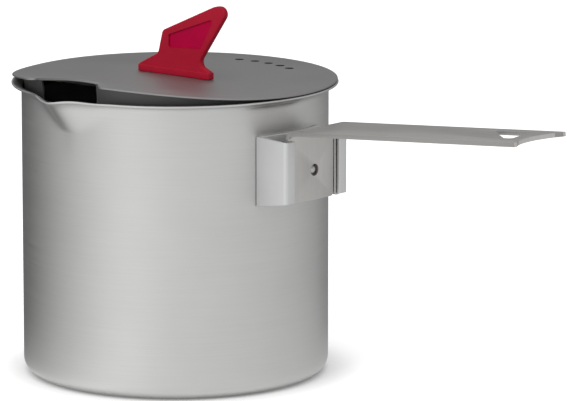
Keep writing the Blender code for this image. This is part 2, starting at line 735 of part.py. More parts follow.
def make_handle(parts, cutters, surface):
    leg_middle = LEG_FRONT - HANDLE_SHEET / 2
    arm_start = ARM_HEIGHT - HANDLE_SHEET / 2
    arm_end = arm_start + (ARM_END - leg_middle) * math.tan(ARM_RISE)
    path = [(leg_middle, LEG_BOTTOM), (leg_middle, arm_start), (ARM_END, arm_end)]
    outline = bent_strip(path, HANDLE_SHEET, BEND_RADIUS + HANDLE_SHEET / 2)
    handle = prism("handle", outline, HANDLE_WIDTH, parts, "XZ")

    latch = rod("latch_hole", LATCH_HOLE, CUT_THROUGH, cutters)
    latch.location = (leg_middle, 0.0, LATCH_HEIGHT)
    latch.rotation_euler = (0.0, math.pi / 2, 0.0)
    combine(handle, latch, "DIFFERENCE")

    # A narrow rail is slit free along the left side of the leg
    slit_middle = HANDLE_WIDTH / 2 - SLIT_INSET
    slit_size = (CUT_THROUGH, SLIT_WIDTH, 2 * SLIT_TOP)
    slit = box("leg_slit", slit_size, (leg_middle, slit_middle, LEG_BOTTOM), cutters)
    combine(handle, slit, "DIFFERENCE")

    corners = {
        "leg_right_corner": (-HANDLE_WIDTH / 2, 1),
        "leg_left_corner": (HANDLE_WIDTH / 2, -1),
        "rail_corner": (slit_middle + SLIT_WIDTH / 2, 1),
        "panel_corner": (slit_middle - SLIT_WIDTH / 2, -1),
    }
    for name, (edge, inward) in corners.items():
        combine(handle, leg_corner_cutter(name, edge, inward, cutters), "DIFFERENCE")

    hang_hole = prism("hang_hole", hang_hole_outline(), CUT_THROUGH, cutters)
    hang_hole.location.z = arm_end
    combine(handle, hang_hole, "DIFFERENCE")

    scoop_radius = (SCOOP_HALF_WIDTH**2 + SCOOP_DEPTH**2) / (2 * SCOOP_DEPTH)
    scoop = rod("end_scoop", 2 * scoop_radius, CUT_THROUGH, cutters, SCOOP_SIDES)
    scoop.location = (ARM_END - SCOOP_DEPTH + scoop_radius, 0.0, arm_end)
    combine(handle, scoop, "DIFFERENCE")
    finish(handle, surface)
    return handle


def make_rivet(name, height, head_seat, parts, surface):
    """A rivet from its head inside the pot to the head that it forms at head_seat."""
    head = RIVET_HEAD_DIAMETER / 2
    shank = RIVET_DIAMETER / 2
    wall = math.sqrt(POT_INNER_RADIUS**2 - head**2) - CLEARANCE
    dome = [(head * x, y) for x, y in arc((0.0, 0.0), 1.0, 0, 90)[:-1]]
    outer = [(r, head_seat + RIVET_HEAD_HEIGHT * s) for r, s in reversed(dome)]
    inner = [(r, wall - RIVET_HEAD_HEIGHT * s) for r, s in dome]
    profile = [(0.0, head_seat + RIVET_HEAD_HEIGHT)] + outer
    profile += [(shank, head_seat), (shank, wall)] + inner
    profile += [(0.0, wall - RIVET_HEAD_HEIGHT)]
    rivet = turned(name, profile, parts, RIVET_STEPS)
    rivet.location.z = height
    rivet.rotation_euler = (0.0, math.pi / 2, 0.0)
    finish(rivet, surface)
    return rivet


def make_latch_spring(parts, cutters, surface):
    """A leaf that is clamped under the lower rivet and snaps its dimple into the leg."""
    foot = SPRING_BACK + SPRING_SHEET / 2
    face = LEG_BACK - CLEARANCE - SPRING_SHEET / 2
    path = [
        (foot, LOWER_RIVET_HEIGHT - SPRING_FOOT_BELOW),
        (foot, LOWER_RIVET_HEIGHT + SPRING_FOOT_ABOVE),
        (face, LATCH_HEIGHT - SPRING_FLAT),
        (face, LATCH_HEIGHT + SPRING_FLAT),
        (face - SPRING_LEAD_IN, LATCH_HEIGHT + SPRING_FLAT + SPRING_LEAD_IN),
    ]
    outline = bent_strip(path, SPRING_SHEET, SPRING_BEND)
    spring = prism("latch_spring", outline, SPRING_WIDTH, parts, "XZ")

    hole = rod("spring_rivet_hole", RIVET_HOLE, CUT_THROUGH, cutters)
    hole.location = (foot, 0.0, LOWER_RIVET_HEIGHT)
    hole.rotation_euler = (0.0, math.pi / 2, 0.0)
    combine(spring, hole, "DIFFERENCE")

    radius = DIMPLE_DIAMETER / 2
    profile = [(0.0, radius)] + arc((0.0, 0.0), radius, 90, 0)[1:]
    profile += [(radius, -SPRING_SHEET / 2), (0.0, -SPRING_SHEET / 2)]
    dimple = turned("spring_dimple", profile, cutters, HOLE_SIDES)
    dimple.location = (face, 0.0, LATCH_HEIGHT)
    dimple.rotation_euler = (0.0, math.pi / 2, 0.0)
    combine(spring, dimple, "UNION")
    finish(spring, surface)
    return spring


def main():
    clear_scene()
    parts = new_collection("camping_pot")
    cutters = new_collection("helpers")

    brushed_aluminium = material("brushed_aluminium", (0.62, 0.62, 0.61), 1.0, 0.38)
    lid_aluminium = material("lid_aluminium", (0.45, 0.44, 0.43), 1.0, 0.45)
    bracket_aluminium = material("bracket_aluminium", (0.70, 0.71, 0.71), 1.0, 0.42)
    stainless = material("brushed_stainless", (0.52, 0.50, 0.48), 1.0, 0.35)
    spring_steel = material("spring_steel", (0.40, 0.40, 0.41), 1.0, 0.30)
    rivet_aluminium = material("rivet_aluminium", (0.60, 0.60, 0.60), 1.0, 0.35)
    red_silicone = material("red_silicone", (0.42, 0.01, 0.03), 0.0, 0.55)

    make_pot_body(parts, cutters, brushed_aluminium)
    make_handle_bracket(parts, cutters, bracket_aluminium)
    make_rivet(
        "upper_rivet", UPPER_RIVET_HEIGHT, BRACKET_BACK_FACE + CLEARANCE, parts, rivet_aluminium
    )
    make_rivet(
        "lower_rivet",
        LOWER_RIVET_HEIGHT,
        SPRING_BACK + SPRING_SHEET + CLEARANCE,
        parts,
        rivet_aluminium,
    )
    make_latch_spring(parts, cutters, spring_steel)

    # The handle slides up out of the bracket, and the lid lifts off, both straight up.
    handle_slide = bpy.data.objects.new("handle_slide", None)
    handle_slide.location = (LEG_FRONT, 0.0, LEG_BOTTOM)
    parts.objects.link(handle_slide)
    lid_lift = bpy.data.objects.new("lid_lift", None)
    lid_lift.location = (0.0, 0.0, LID_SEAT)
    parts.objects.link(lid_lift)
    bpy.context.view_layer.update()

    handle = make_handle(parts, cutters, stainless)
    lid = make_lid(parts, cutters, lid_aluminium)
    tab = make_lid_tab(parts, cutters, red_silicone)
    for piece, carrier in ((handle, handle_slide), (lid, lid_lift), (tab, lid_lift)):
        piece.parent = carrier
        piece.matrix_parent_inverse = carrier.matrix_world.inverted()


main()
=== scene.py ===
"""Solo camping pot, dressed for its picture.

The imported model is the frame. Each piece here is a finer version of one of its nodes, in the
same place, with rounded edges and a procedural finish, and stands in a plain pale studio.
"""

import math

import bmesh
import bpy
from bpy.props import FloatProperty, FloatVectorProperty, PointerProperty
from bpy.types import Operator, Panel, PropertyGroup
from mathutils import Matrix, Vector


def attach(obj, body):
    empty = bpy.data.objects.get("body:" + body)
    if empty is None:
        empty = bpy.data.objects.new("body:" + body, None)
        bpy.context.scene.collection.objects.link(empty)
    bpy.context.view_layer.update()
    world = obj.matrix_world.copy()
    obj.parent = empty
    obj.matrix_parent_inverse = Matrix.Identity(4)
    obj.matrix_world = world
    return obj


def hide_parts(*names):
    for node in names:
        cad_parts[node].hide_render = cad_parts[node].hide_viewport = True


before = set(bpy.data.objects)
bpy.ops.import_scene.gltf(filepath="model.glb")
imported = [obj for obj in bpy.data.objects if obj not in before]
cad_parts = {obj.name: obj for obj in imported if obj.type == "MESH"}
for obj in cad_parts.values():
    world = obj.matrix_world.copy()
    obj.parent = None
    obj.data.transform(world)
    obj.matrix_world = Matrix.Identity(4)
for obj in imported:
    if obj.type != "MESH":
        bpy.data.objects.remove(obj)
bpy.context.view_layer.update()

bl_info = {
    "name": "Camping Pot",
    "version": (1, 0, 0),
    "blender": (4, 5, 0),
    "location": "View3D > Sidebar > Camping Pot",
    "description": "Dresses a solo camping pot with its finishes and sets up its studio",
    "category": "Object",
}

MM = 0.001

# Points nearer than this are one, the gap between two pieces, and the length of a cutter
WELD = 0.01 * MM
CLEARANCE = 0.3 * MM
CUT_THROUGH = 12.0 * MM

# Pot
BODY_RADIUS = 57.5 * MM
POT_SHEET = 0.8 * MM
POT_HEIGHT = 110.2 * MM
BASE_CORNER_RADIUS = 5.4 * MM
LIP_REACH = 3.7 * MM
LIP_FILLET = 3.0 * MM
SPOUT_AZIMUTH = math.radians(-90.0)
SPOUT_REACH = 10.2 * MM
SPOUT_SPREAD = math.radians(12.3)
SPOUT_DEPTH = 13.0 * MM
SPOUT_FOOT_SHARE = 0.25
SPOUT_FADE_POWER = 1.1
WAIST_DEPTH = 1.4 * MM
WAIST_ANGLE = math.radians(15.4)
WAIST_SPREAD = math.radians(7.9)
TIP_TRIM = 0.8 * MM
TIP_SPREAD = math.radians(8.0)
SHOULDER_RISE = 1.1 * MM
SHOULDER_ANGLE = math.radians(6.8)
SHOULDER_SPREAD = math.radians(5.2)

# Lid
LID_SHEET = 0.7 * MM
LID_RADIUS = 60.9 * MM
LID_CROWN = 0.7 * MM
SKIRT_RADIUS = 57.0 * MM
SKIRT_DEPTH = 6.0 * MM
SKIRT_TAPER = 0.3 * MM
SKIRT_BAND = 2.0 * MM
VISOR_RISE = 5.2 * MM
VISOR_POWER = 2.3
VISOR_TURN = math.radians(4.0)
HOOD_RISE = 2.15 * MM
HOOD_START = 46.0 * MM
HOOD_TURN = math.radians(5.0)
HOOD_SPREAD = math.radians(20.4)
WINDOW_TURN = math.radians(-3.2)
WINDOW_ANGLE = math.radians(14.6)
WINDOW_SILL = 3.0 * MM
WINDOW_HEAD = 0.15 * MM
WINDOW_CORNER = 0.5 * MM
NOTCH_TURN = math.radians(-3.7)
NOTCH_ANGLE = math.radians(16.6)
NOTCH_CORNER = 4.0 * MM
STRAINER_COUNT = 5
STRAINER_DIAMETER = 3.5 * MM
STRAINER_CIRCLE = 46.7 * MM
STRAINER_AZIMUTH = math.radians(82.1)
STRAINER_PITCH = math.radians(8.9)

# Lid tab
TAB_THICKNESS = 2.4 * MM
TAB_HEIGHT = 27.7 * MM
TAB_EDGE = 0.7 * MM
TAB_BASE_THICKNESS = 3.2 * MM
TAB_BASE_BACK = 17.4 * MM
TAB_BASE_FRONT = 18.0 * MM
TAB_BASE_HEIGHT = 2.4 * MM
TAB_BASE_DRAFT = 0.3 * MM
TAB_BASE_EDGE = 0.4 * MM
TAB_FOOT_CORNER = 0.5 * MM
TAB_STRIP_HEIGHT = 2.7 * MM
TAB_STRIP_CORNER = 1.0 * MM
TAB_HEEL_REACH = 12.2 * MM
TAB_HEEL_HEIGHT = 5.0 * MM
TAB_HEEL_CORNER = 2.5 * MM
TAB_TIP_REACH = 28.1 * MM
TAB_TIP_CORNER = 2.8 * MM
TAB_TIP_LENGTH = 7.3 * MM
TAB_TIP_BACK_CORNER = 7.0 * MM
TAB_SHOULDER_REACH = 5.4 * MM
TAB_SHOULDER_HEIGHT = 16.3 * MM
TAB_SHOULDER_CORNER = 2.5 * MM
TAB_WAIST_REACH = 7.7 * MM
TAB_WAIST_HEIGHT = 7.4 * MM
TAB_WAIST_CORNER = 3.0 * MM
TAB_RECESS_DEPTH = 0.6 * MM
TAB_RECESS_BACK = 2.2 * MM
TAB_RECESS_BOTTOM = 10.1 * MM
TAB_RECESS_BACK_TOP = 15.0 * MM
TAB_RECESS_FRONT = 13.8 * MM
TAB_RECESS_LIFT = 0.8 * MM
TAB_RECESS_TIP_REACH = 20.4 * MM
TAB_RECESS_TIP_HEIGHT = 23.0 * MM
TAB_RECESS_CORNER = 0.8 * MM
TAB_NECK_LENGTH = 20.0 * MM
TAB_NECK_THICKNESS = 2.0 * MM
TAB_FOOT_LENGTH = 30.0 * MM
TAB_FOOT_WIDTH = 7.0 * MM
TAB_FOOT_THICKNESS = 1.5 * MM

# Handle bracket
BRACKET_SHEET = 1.0 * MM
BRACKET_HALF_WIDTH = 17.5 * MM
BRACKET_REACH = 12.0 * MM
BRACKET_LIP = 5.0 * MM
BRACKET_CORNER = 1.4 * MM
BRACKET_DROP = 13.1 * MM
BRACKET_HEIGHT = 25.9 * MM
BRACKET_TOP_TAPER = 0.9 * MM
BRACKET_BOTTOM_TAPER = 2.2 * MM

# Handle
HANDLE_SHEET = 1.6 * MM
HANDLE_WIDTH = 29.8 * MM
LEG_LIFT = 1.7 * MM
LEG_CORNER = 1.4 * MM
BEND_RADIUS = 1.8 * MM
ARM_LIFT = 2.8 * MM
ARM_RISE = math.radians(4.43)
ARM_END = 171.3 * MM
LATCH_LIFT = 12.8 * MM
LATCH_HOLE = 4.4 * MM
SLIT_WIDTH = 0.6 * MM
SLIT_INSET = 3.9 * MM
SLIT_TOP = 22.0 * MM
SCOOP_DEPTH = 3.8 * MM
SCOOP_HALF_WIDTH = 13.4 * MM
HANG_HOLE_END = 8.4 * MM
HANG_HOLE_LONG_SIDE = 16.7 * MM
HANG_HOLE_SHORT_SIDE = 3.5 * MM
HANG_HOLE_SKEW = 4.0 * MM
HANG_HOLE_EDGE = 4.2 * MM
HANG_HOLE_WIDTH = 16.1 * MM
HANG_HOLE_CORNER = 1.2 * MM

# Rivets and latch spring
RIVET_DIAMETER = 4.0 * MM
RIVET_HEAD_DIAMETER = 8.0 * MM
RIVET_HEAD_HEIGHT = 1.5 * MM
LOWER_RIVET_LIFT = 5.6 * MM
UPPER_RIVET_DROP = 5.3 * MM
SPRING_SHEET = 0.4 * MM
SPRING_WIDTH = 9.0 * MM
SPRING_FOOT_BELOW = 4.5 * MM
SPRING_FOOT_ABOVE = 4.5 * MM
SPRING_FLAT = 2.6 * MM
SPRING_LEAD_IN = 2.5 * MM
SPRING_BEND = 0.8 * MM
DIMPLE_DIAMETER = 3.8 * MM

# Levels and radii that follow from the sizes above
POT_INNER_RADIUS = BODY_RADIUS - POT_SHEET
RIM_RADIUS = BODY_RADIUS + LIP_REACH
LIP_ARC_RADIUS = BODY_RADIUS + LIP_FILLET
LIP_ARC_HEIGHT = POT_HEIGHT - POT_SHEET - LIP_FILLET
SPOUT_FOOT = POT_HEIGHT - SPOUT_DEPTH
LID_SEAT = POT_HEIGHT + CLEARANCE
SKIRT_BOTTOM = POT_HEIGHT - SKIRT_DEPTH
SKIRT_FIT_RADIUS = POT_INNER_RADIUS - CLEARANCE
LID_UNDERSIDE = LID_SEAT + LID_CROWN
LID_TOP = LID_UNDERSIDE + LID_SHEET
BRACKET_TOP = POT_HEIGHT - BRACKET_DROP
BRACKET_BOTTOM = BRACKET_TOP - BRACKET_HEIGHT
BRACKET_BACK = BODY_RADIUS + CLEARANCE
BRACKET_BACK_FACE = BRACKET_BACK + BRACKET_SHEET
BRACKET_FRONT = BODY_RADIUS + BRACKET_REACH
LEG_FRONT = BRACKET_FRONT - BRACKET_SHEET - CLEARANCE
LEG_BACK = LEG_FRONT - HANDLE_SHEET
LEG_BOTTOM = BRACKET_BOTTOM + LEG_LIFT
ARM_HEIGHT = BRACKET_TOP + ARM_LIFT
LATCH_HEIGHT = BRACKET_BOTTOM + LATCH_LIFT
LOWER_RIVET_HEIGHT = BRACKET_BOTTOM + LOWER_RIVET_LIFT
UPPER_RIVET_HEIGHT = BRACKET_TOP - UPPER_RIVET_DROP
RIVET_HOLE = RIVET_DIAMETER + 2 * CLEARANCE
SPRING_BACK = BRACKET_BACK_FACE + CLEARANCE

# Smoothness
TURN_COLUMNS = 288
TURN_CROWDING = 0.35
ROUND_COLUMNS = 48
ARC_STEPS = 8
CURVE_STEPS = 32
SCOOP_STEPS = 96
FLOOR_RING_SHARES = (0.25, 0.5, 0.75, 0.92)
WALL_START = 2.0 * MM
LOWER_WALL_RINGS = 6
UPPER_WALL_RINGS = 12
PLATE_RINGS = 22
FLANGE_RINGS = 4
FLANGE_TOP_RINGS = 6
FLANGE_START = 0.6 * MM

# Grain of the brushed pieces, in streaks per metre along each axis
WALL_GRAIN = (22.0, 22.0, 2600.0)
STRIP_GRAIN = (30.0, 2600.0, 30.0)
SPRING_GRAIN = (60.0, 3000.0, 60.0)

# Finishes that aren't settings: colours, roughness, and how shiny the silicone is
RIVET_COLOR = (0.60, 0.60, 0.60)
RIVET_ROUGHNESS = 0.34
SPRING_COLOR = (0.56, 0.55, 0.54)
SPRING_ROUGHNESS = 0.38
STRIP_ROUGHNESS = 0.36
BRACKET_ROUGHNESS = 0.46
SILICONE_ROUGHNESS = 0.50
TAB_SHINE = 0.15
RECESS_SHINE = 0.06

# Darker faces of a sheet: how dark against its colour, how rough, and the slope that tells them
CUT_EDGE_SHADE = 0.68
CUT_EDGE_ROUGHNESS = 0.50
CUT_EDGE_SLOPE = 0.4
# The skirt's darkness is painted shade, for the shade under the lid's plate and flange.
SKIRT_PAINTED_SHADE = 0.36
SKIRT_ROUGHNESS = 0.55
SKIRT_SLOPE = 0.5
RECESS_SLOPE = 0.99

# Noises of the finishes: scales in features per metre, heights and strengths of their relief,
# how far the colour and the roughness drift, and the span that most of a noise lies in
STREAK_CRISPNESS = 0.6
FINE_STREAK_SCALE = 2.7
FINE_STREAK_SHARE = 0.6
STREAK_HEIGHT = 0.02 * MM
BRUSHED_CLOUDS = 38.0
BRUSHED_DRIFT = 0.05
BLASTED_GRAIN = 5200.0
BLASTED_CLOUDS = 42.0
BLASTED_DRIFT = 0.04
GRAIN_HEIGHT = 0.03 * MM
SILICONE_BLOOM = 3800.0
SILICONE_CLOUDS = 90.0
SILICONE_DRIFT = 0.06
SILICONE_BLOOM_MOTTLE = 0.04
SILICONE_CLOUD_MOTTLE = 0.05
SILICONE_RELIEF = 0.15
FLOOR_CLOUDS = 6.0
FLOOR_MOTTLE = 0.005
NOISE_SPAN = (0.3, 0.7)
STREAK_SPAN = (0.5, 1.1)

# Floor: its level, its colour, and the painted contact shadow at the foot of the pot, which
# reaches that far and has that strength where the pot leaves that share of the light
FLOOR_LEVEL = -0.05 * MM
FLOOR_COLOR = (0.86, 0.86, 0.86)
FLOOR_ROUGHNESS = 0.9
CONTACT_REACH = 24.0 * MM
CONTACT_SAMPLES = 8
CONTACT_OPEN = (0.1, 0.9)
PAINTED_CONTACT_SHADE = (0.32, 1.0)

# Lamps, which face the middle of the pot. Angles are in degrees round it, and 0 is on the
# camera's side.
POT_MIDDLE = (0.0, 0.0, 60.0 * MM)
KEY_LAMP_ANGLE = -38.0
KEY_LAMP_DISTANCE = 1.3
KEY_LAMP_HEIGHT = 0.75
KEY_LAMP_SIDE = 0.9
TOP_LAMP_HEIGHT = 1.6
TOP_LAMP_SIDE = 1.6
TOP_LAMP_POWER = 4.0

# Light all round: the angle that it is brightest at, and how it fades towards the far side
WORLD_FRONT = -8.0
WORLD_FADE = (-0.9, 0.6)
WORLD_LEVELS = (0.42, 1.15)

# Card that only reflections see: a flat ring on the floor that turns up into a wall. Its
# section is (radius, height), and over CARD_FADE in height it turns as pale as CARD_ABOVE.
CARD_SECTION = ((0.058, 0.001), (0.19, 0.001), (0.19, 0.45))
CARD_FADE = (0.11, 0.17)
CARD_ABOVE = 0.45
CARD_COLOR = (0.8, 0.8, 0.8)
RING_COLUMNS = 96

# The card's angle and brightness, from the back, past the camera's left side, round to the
# back again
RING_LEVELS = (
    (-180.0, 0.18),
    (-160.0, 0.07),
    (-142.0, 0.05),
    (-125.0, 0.07),
    (-108.0, 0.20),
    (-84.0, 0.48),
    (-57.0, 0.75),
    (-36.0, 0.99),
    (-22.0, 1.00),
    (-3.0, 0.80),
    (23.0, 0.78),
    (50.0, 0.72),
    (85.0, 0.63),
    (117.0, 0.40),
    (134.0, 0.15),
    (152.0, 0.22),
)

# Camera of the picture, fitted to the pot's outline. Its turn is azimuth, tilt and roll.
SENSOR_WIDTH = 36.0
CAMERA_REACH = 50.0
CAMERA_LENS = 285.71
CAMERA_SHIFT = (0.00331, -0.00107)
CAMERA_PLACE = (1.10807, -1.24044, 0.38210)
CAMERA_TURN = (math.radians(40.4), math.pi / 2 - 0.188835, 0.0008)


class PotSettings(PropertyGroup):
    """Finish of the drawn aluminium pot and of its pressed lid."""

    wall_color: FloatVectorProperty(
        name="Wall colour",
        description="Colour of the drawn aluminium wall",
        subtype="COLOR",
        min=0.0,
        max=1.0,
        default=(0.640, 0.640, 0.632),
    )
    wall_roughness: FloatProperty(
        name="Wall roughness",
        description="Roughness of the satin wall",
        subtype="FACTOR",
        min=0.0,
        max=1.0,
        default=0.40,
    )
    lid_color: FloatVectorProperty(
        name="Lid colour",
        description="Colour of the pressed lid, which is a darker grey than the pot",
        subtype="COLOR",
        min=0.0,
        max=1.0,
        default=(0.344, 0.338, 0.338),
    )
    lid_roughness: FloatProperty(
        name="Lid roughness",
        description="Roughness of the matt lid",
        subtype="FACTOR",
        min=0.0,
        max=1.0,
        default=0.50,
    )


class HandleSettings(PropertyGroup):
    """Finish of the strip handle, its bracket and what fastens them."""

    strip_color: FloatVectorProperty(
        name="Handle colour",
        description="Colour of the stainless strip",
        subtype="COLOR",
        min=0.0,
        max=1.0,
        default=(0.590, 0.573, 0.556),
    )
    bracket_color: FloatVectorProperty(
        name="Bracket colour",
        description="Colour of the bent aluminium bracket",
        subtype="COLOR",
        min=0.0,
        max=1.0,
        default=(0.710, 0.714, 0.714),
    )
    edge_radius: FloatProperty(
        name="Edge radius",
        description="How far the stamped edges of the strip and the bracket are broken",
        unit="LENGTH",
        min=0.05 * MM,
        max=0.4 * MM,
        default=0.16 * MM,
    )


class TabSettings(PropertyGroup):
    """Finish of the silicone lid tab."""

    tab_color: FloatVectorProperty(
        name="Tab colour",
        description="Colour of the silicone",
        subtype="COLOR",
        min=0.0,
        max=1.0,
        default=(0.320, 0.004, 0.020),
    )
    recess_color: FloatVectorProperty(
        name="Recess colour",
        description="Colour of the silicone in the sunk panel",
        subtype="COLOR",
        min=0.0,
        max=1.0,
        default=(0.360, 0.0, 0.034),
    )


class StudioSettings(PropertyGroup):
    """Plain pale floor, soft lamps and the light all round."""

    floor_size: FloatProperty(
        name="Floor size",
        description="Side of the square floor",
        unit="LENGTH",
        min=1.0,
        max=40.0,
        default=16.0,
    )
    floor_glow: FloatProperty(
        name="Floor glow",
        description="How much paler the camera sees the floor, so that it is white",
        subtype="FACTOR",
        min=0.0,
        max=1.0,
        default=0.5,
    )
    key_power: FloatProperty(
        name="Key lamp",
        description="Power of the large soft lamp at the front left",
        unit="POWER",
        min=0.0,
        max=200.0,
        default=9.0,
    )
    around: FloatProperty(
        name="Light all round",
        description="Strength of the light that comes from everywhere",
        min=0.0,
        max=2.0,
        default=0.8,
    )


def arc(center, radius, start, end, steps=ARC_STEPS):
    """Points on an arc, both ends included. Angles are in degrees."""
    angles = [math.radians(start + (end - start) * i / steps) for i in range(steps + 1)]
    return [(center[0] + radius * math.cos(a), center[1] + radius * math.sin(a)) for a in angles]


def fillet(before, corner, after, radius, steps=ARC_STEPS):
    """The arc that rounds one corner of a path."""
    corner = Vector(corner)
    back = (Vector(before) - corner).normalized()
    ahead = (Vector(after) - corner).normalized()
    half = back.angle(ahead) / 2
    center = corner + (back + ahead).normalized() * (radius / math.sin(half))
    start = corner + back * (radius / math.tan(half)) - center
    end = corner + ahead * (radius / math.tan(half)) - center
    turn = start.angle_signed(end)
    first = math.atan2(start.y, start.x)
    angles = [first - turn * i / steps for i in range(steps + 1)]
    return [(center.x + radius * math.cos(a), center.y + radius * math.sin(a)) for a in angles]


def rounded(corners):
    """A closed outline from corners (x, y, radius). A radius of 0 leaves the corner sharp."""
    outline = []
    for i, (x, y, radius) in enumerate(corners):
        before = corners[i - 1][:2]
        after = corners[(i + 1) % len(corners)][:2]
        outline += fillet(before, (x, y), after, radius) if radius else [(x, y)]
    return outline


def bent_strip(path, sheet, radius):
    """The side outline of a sheet strip whose middle follows a path with equal bends."""
    middle = [Vector(path[0])]
    for before, corner, after in zip(path, path[1:], path[2:]):
        middle += [Vector(p) for p in fillet(before, corner, after, radius)]
    middle.append(Vector(path[-1]))
    left = []
    right = []
    for i, point in enumerate(middle):
        way = middle[min(i + 1, len(middle) - 1)] - middle[max(i - 1, 0)]
        side = Vector((-way.y, way.x)).normalized() * (sheet / 2)
        left.append(point + side)
        right.append(point - side)
    return [tuple(p) for p in left + right[::-1]]


def spread(start, end, steps):
    """Evenly spaced values from start to end, the end left out."""
    return [start + (end - start) * i / steps for i in range(steps)]


def as_object(name, shape):
    """A new object from a bmesh, with its faces turned outwards."""
    bmesh.ops.recalc_face_normals(shape, faces=shape.faces)
    mesh = bpy.data.meshes.new(name)
    shape.to_mesh(mesh)
    shape.free()
    obj = bpy.data.objects.new(name, mesh)
    bpy.context.scene.collection.objects.link(obj)
    return obj


def turned(name, profile, columns, place):
    """A section (radius, height), from axis to axis, turned about Z. place gives each point."""
    shape = bmesh.new()
    rings = []
    for radius, height in profile:
        if radius < WELD:
            rings.append([shape.verts.new((0.0, 0.0, height))])
        else:
            rings.append([shape.verts.new(place(radius, height, azimuth)) for azimuth in columns])
    for low, high in zip(rings, rings[1:]):
        for i in range(len(columns)):
            corners = []
            for ring, k in ((low, i), (low, i + 1), (high, i + 1), (high, i)):
                corner = ring[k % len(ring)]
                if corner not in corners:
                    corners.append(corner)
            shape.faces.new(corners)
    return as_object(name, shape)


def upright(radius, height, azimuth):
    """A point of a plain turned shape."""
    return Vector((radius * math.cos(azimuth), radius * math.sin(azimuth), height))


def prism(name, outline, thickness, plane="XY", level=0.0):
    """A flat outline made solid, centred on a level of its plane: XY, XZ or YZ."""
    shape = bmesh.new()
    low = []
    high = []
    for x, y in outline:
        for side, corners in ((-0.5, low), (0.5, high)):
            z = level + side * thickness
            place = {"XY": (x, y, z), "XZ": (x, z, y), "YZ": (z, x, y)}[plane]
            corners.append(shape.verts.new(place))
    shape.faces.new(low[::-1])
    shape.faces.new(high)
    for i in range(len(outline)):
        j = (i + 1) % len(outline)
        shape.faces.new((low[i], low[j], high[j], high[i]))
    return as_object(name, shape)


def block(name, size, center):
    """A rectangular block."""
    half = (size[0] / 2, size[1] / 2)
    corners = [(-half[0], -half[1]), (half[0], -half[1]), (half[0], half[1]), (-half[0], half[1])]
    outline = [(center[0] + x, center[1] + y) for x, y in corners]
    return prism(name, outline, size[2], "XY", center[2])


def drill(name, diameter, center, plane="XY", length=CUT_THROUGH):
    """A round cutter through the named plane."""
    flat = {"XY": (0, 1), "XZ": (0, 2), "YZ": (1, 2)}[plane]
    level = center[3 - flat[0] - flat[1]]
    outline = arc((center[flat[0]], center[flat[1]]), diameter / 2, 0, 360, CURVE_STEPS)[:-1]
    return prism(name, outline, length, plane, level)


def settle(obj):
    """Turns a piece's modifiers into its mesh."""
    bpy.context.view_layer.update()
    depsgraph = bpy.context.evaluated_depsgraph_get()
    mesh = bpy.data.meshes.new_from_object(obj.evaluated_get(depsgraph))
    obj.modifiers.clear()
    obj.data = mesh


def bevel(obj, width, segments=3, angle=50.0):
    """Rounds the edges of a piece that are sharper than an angle in degrees."""
    modifier = obj.modifiers.new("Bevel", "BEVEL")
    modifier.width = width
    modifier.segments = segments
    modifier.limit_method = "ANGLE"
    modifier.angle_limit = math.radians(angle)
    modifier.use_clamp_overlap = True
    settle(obj)


def combine(obj, other, operation="DIFFERENCE"):
    """Cuts a piece with a helper, or joins the helper to it. The helper goes."""
    modifier = obj.modifiers.new("Boolean", "BOOLEAN")
    modifier.operation = operation
    modifier.solver = "EXACT"
    modifier.object = other
    settle(obj)
    bpy.data.objects.remove(other)


def dress(obj, finishes, node, body, angle=35.0):
    """Gives a piece its finishes and smooth faces, and puts it in the place of its CAD node."""
    shape = bmesh.new()
    shape.from_mesh(obj.data)
    bmesh.ops.remove_doubles(shape, verts=shape.verts, dist=WELD / 4)
    shape.to_mesh(obj.data)
    shape.free()
    obj.data.materials.clear()
    for finish in finishes:
        obj.data.materials.append(finish)
    obj.data.shade_smooth()
    obj.data.set_sharp_from_angle(angle=math.radians(angle))
    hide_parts(node)
    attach(obj, body)


class Nodes:
    """The nodes of a material or of the world, added one by one."""

    def __init__(self, tree):
        self.tree = tree

    def node(self, kind, **values):
        """A new node, with values for its inputs or its settings."""
        made = self.tree.nodes.new(kind)
        for name, value in values.items():
            if name in made.inputs:
                made.inputs[name].default_value = value
            else:
                setattr(made, name, value)
        return made

    def link(self, source, target):
        """Joins an output to an input."""
        self.tree.links.new(source, target)

    def between(self, value, low, high, to_low, to_high, ease="LINEAR"):
        """value from low to high, carried to to_low to to_high."""
        made = self.node("ShaderNodeMapRange", interpolation_type=ease)
        made.inputs["From Min"].default_value = low
        made.inputs["From Max"].default_value = high
        made.inputs["To Min"].default_value = to_low
        made.inputs["To Max"].default_value = to_high
        self.link(value, made.inputs["Value"])
        return made.outputs["Result"]

    def math(self, operation, first, second):
        """The result of an operation on two values, each a number or an output."""
        made = self.node("ShaderNodeMath", operation=operation)
        for socket, value in zip(made.inputs, (first, second)):
            if isinstance(value, (int, float)):
                socket.default_value = value
            else:
                self.link(value, socket)
        return made.outputs["Value"]

    def seen_ray(self):
        """1 for what the camera sees, also in metal or through glass, and 0 for light."""
        path = self.node("ShaderNodeLightPath")
        seen = path.outputs["Is Camera Ray"]
        for ray in ("Is Glossy Ray", "Is Transmission Ray"):
            seen = self.math("MAXIMUM", seen, path.outputs[ray])
        return seen


